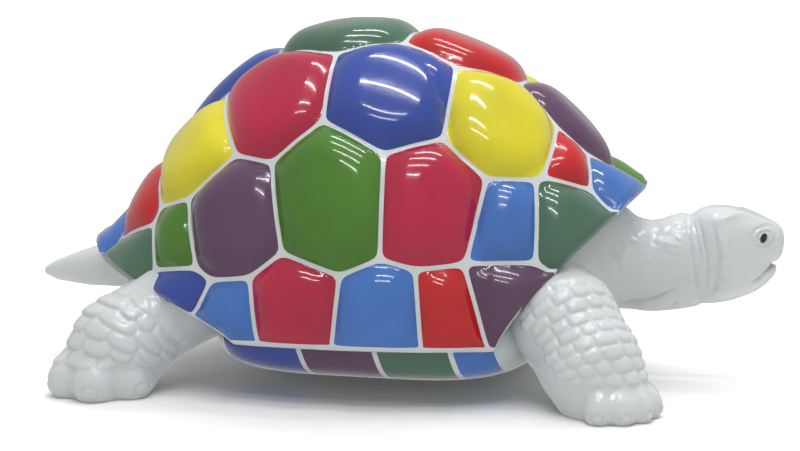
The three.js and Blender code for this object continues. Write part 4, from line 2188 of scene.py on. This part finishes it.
@dataclass
class Studio:
    """The plain pale floor, the soft lamps and the camera.

    Attributes:
        azimuth: How far the camera stands round towards the head, in degrees.
        distance: From the camera to what it looks at.
        height: The camera's height.
        look_height: Height of what it looks at.
        look_x: Its place along the body.
        lens: The camera's focal length, in millimetres.
        sensor: Width of its sensor, in millimetres.
        floor_half: How far the floor runs in front, and half its width in the same measure.
        back_wall: Where the floor starts to sweep up.
        sweep: Radius of the sweep.
        sweep_steps: Steps in the sweep.
        wall: Height of the wall.
        tubes: How many long lamps hang over the sculpture.
        tube_from: Place across the body of the nearest one.
        tube_gap: Distance from one to the next.
        tube_x: Their place along the body.
        tube_height: Their height.
        tube_size: Their length and width.
        tube_power: The power of each, in watts.
        room_light: Strength of the even light of the room.
    """

    azimuth: float = 14.0
    distance: float = 2.400
    height: float = 0.520
    look_height: float = 0.222
    look_x: float = 0.012
    lens: float = 68.2
    sensor: float = 36.0
    floor_half: float = 6.0
    back_wall: float = 3.5
    sweep: float = 2.0
    sweep_steps: int = 12
    wall: float = 8.0
    tubes: int = 4
    tube_from: float = -2.1
    tube_gap: float = 0.85
    tube_x: float = 0.35
    tube_height: float = 2.7
    tube_size: tuple[float, float] = (1.3, 0.045)
    tube_power: float = 8.0
    room_light: float = 0.48

    def camera(self) -> None:
        """Sets the camera up, a little towards the head from a full side view."""
        target = Vector((self.look_x, 0.0, self.look_height))
        level = math.sqrt(self.distance**2 - (self.height - self.look_height) ** 2)
        turn = math.radians(self.azimuth)
        place = Vector((self.look_x + level * math.sin(turn), -level * math.cos(turn), self.height))
        data = bpy.data.cameras.new("camera")
        data.lens = self.lens
        data.sensor_width = self.sensor
        made = bpy.data.objects.new("camera", data)
        made.location = place
        made.rotation_euler = (target - place).to_track_quat("-Z", "Y").to_euler()
        bpy.context.collection.objects.link(made)
        bpy.context.scene.camera = made

    def floor(self) -> None:
        """Lays a pale floor that sweeps up far behind and isn't mirrored in the gloss."""
        profile = [(-self.floor_half, 0.0), (self.back_wall, 0.0)]
        for step in range(1, self.sweep_steps + 1):
            turn = math.radians(90 * step / self.sweep_steps)
            back, up = math.sin(turn), 1 - math.cos(turn)
            profile.append((self.back_wall + self.sweep * back, self.sweep * up))
        profile.append((self.back_wall + self.sweep, self.wall))
        points = [(side * 2 * self.floor_half, y, z) for y, z in profile for side in (-1, 1)]
        faces = [(2 * k, 2 * k + 1, 2 * k + 3, 2 * k + 2) for k in range(len(profile) - 1)]
        mesh = bpy.data.meshes.new("floor")
        mesh.from_pydata(points, [], faces)
        for polygon in mesh.polygons:
            polygon.use_smooth = True
        made = bpy.data.objects.new("floor", mesh)
        bpy.context.collection.objects.link(made)
        mesh.materials.append(PalePaper().material())
        made.visible_glossy = False

    def lights(self) -> None:
        """Hangs the soft lamps and sets the pale room."""
        for lamp in SOFT_LAMPS:
            lamp.hang()
        for number in range(self.tubes):
            x, y = self.tube_x, self.tube_from + self.tube_gap * number
            place = (x, y, self.tube_height)
            Lamp(f"tube_{number}", place, (x, y, 0.0), self.tube_size, self.tube_power).hang()
        world = bpy.data.worlds.new("pale_room")
        world.use_nodes = True
        background = world.node_tree.nodes["Background"]
        background.inputs["Color"].default_value = (1.0, 1.0, 1.0, 1.0)
        background.inputs["Strength"].default_value = self.room_light
        bpy.context.scene.world = world
        bpy.context.scene.view_settings.view_transform = "Standard"

    def build(self) -> None:
        """Sets up camera, floor and lights."""
        self.camera()
        self.floor()
        self.lights()


def seat_in_box(mesh: bpy.types.Mesh, low: Vector, high: Vector) -> None:
    """Sets the casting to the length of its box and stands it in the middle, on the floor.

    Args:
        mesh: The casting's mesh.
        low: Lowest corner of the box.
        high: Highest corner of the box.
    """
    scale = (high.x - low.x) / LENGTH
    shift = ((low.x + high.x) / 2, (low.y + high.y) / 2, low.z)
    mesh.transform(Matrix.Translation(shift) @ Matrix.Scale(scale, 4))
    mesh.update()


def main() -> None:
    """Builds the studio and the casting, and ties the casting to the frame."""
    logging.basicConfig(level=logging.INFO, format="%(name)s: %(message)s")
    Studio().build()
    piece = Casting().fuse()
    seat_in_box(piece.data, *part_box(NODE))
    piece.data.materials.clear()
    piece.data.materials.append(GlossEnamel().material())
    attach(piece, "root")
    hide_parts(NODE)
    log.info("%s: %d triangles", piece.name, len(piece.data.polygons))
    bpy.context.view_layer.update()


if __name__ == "__main__":
    main()
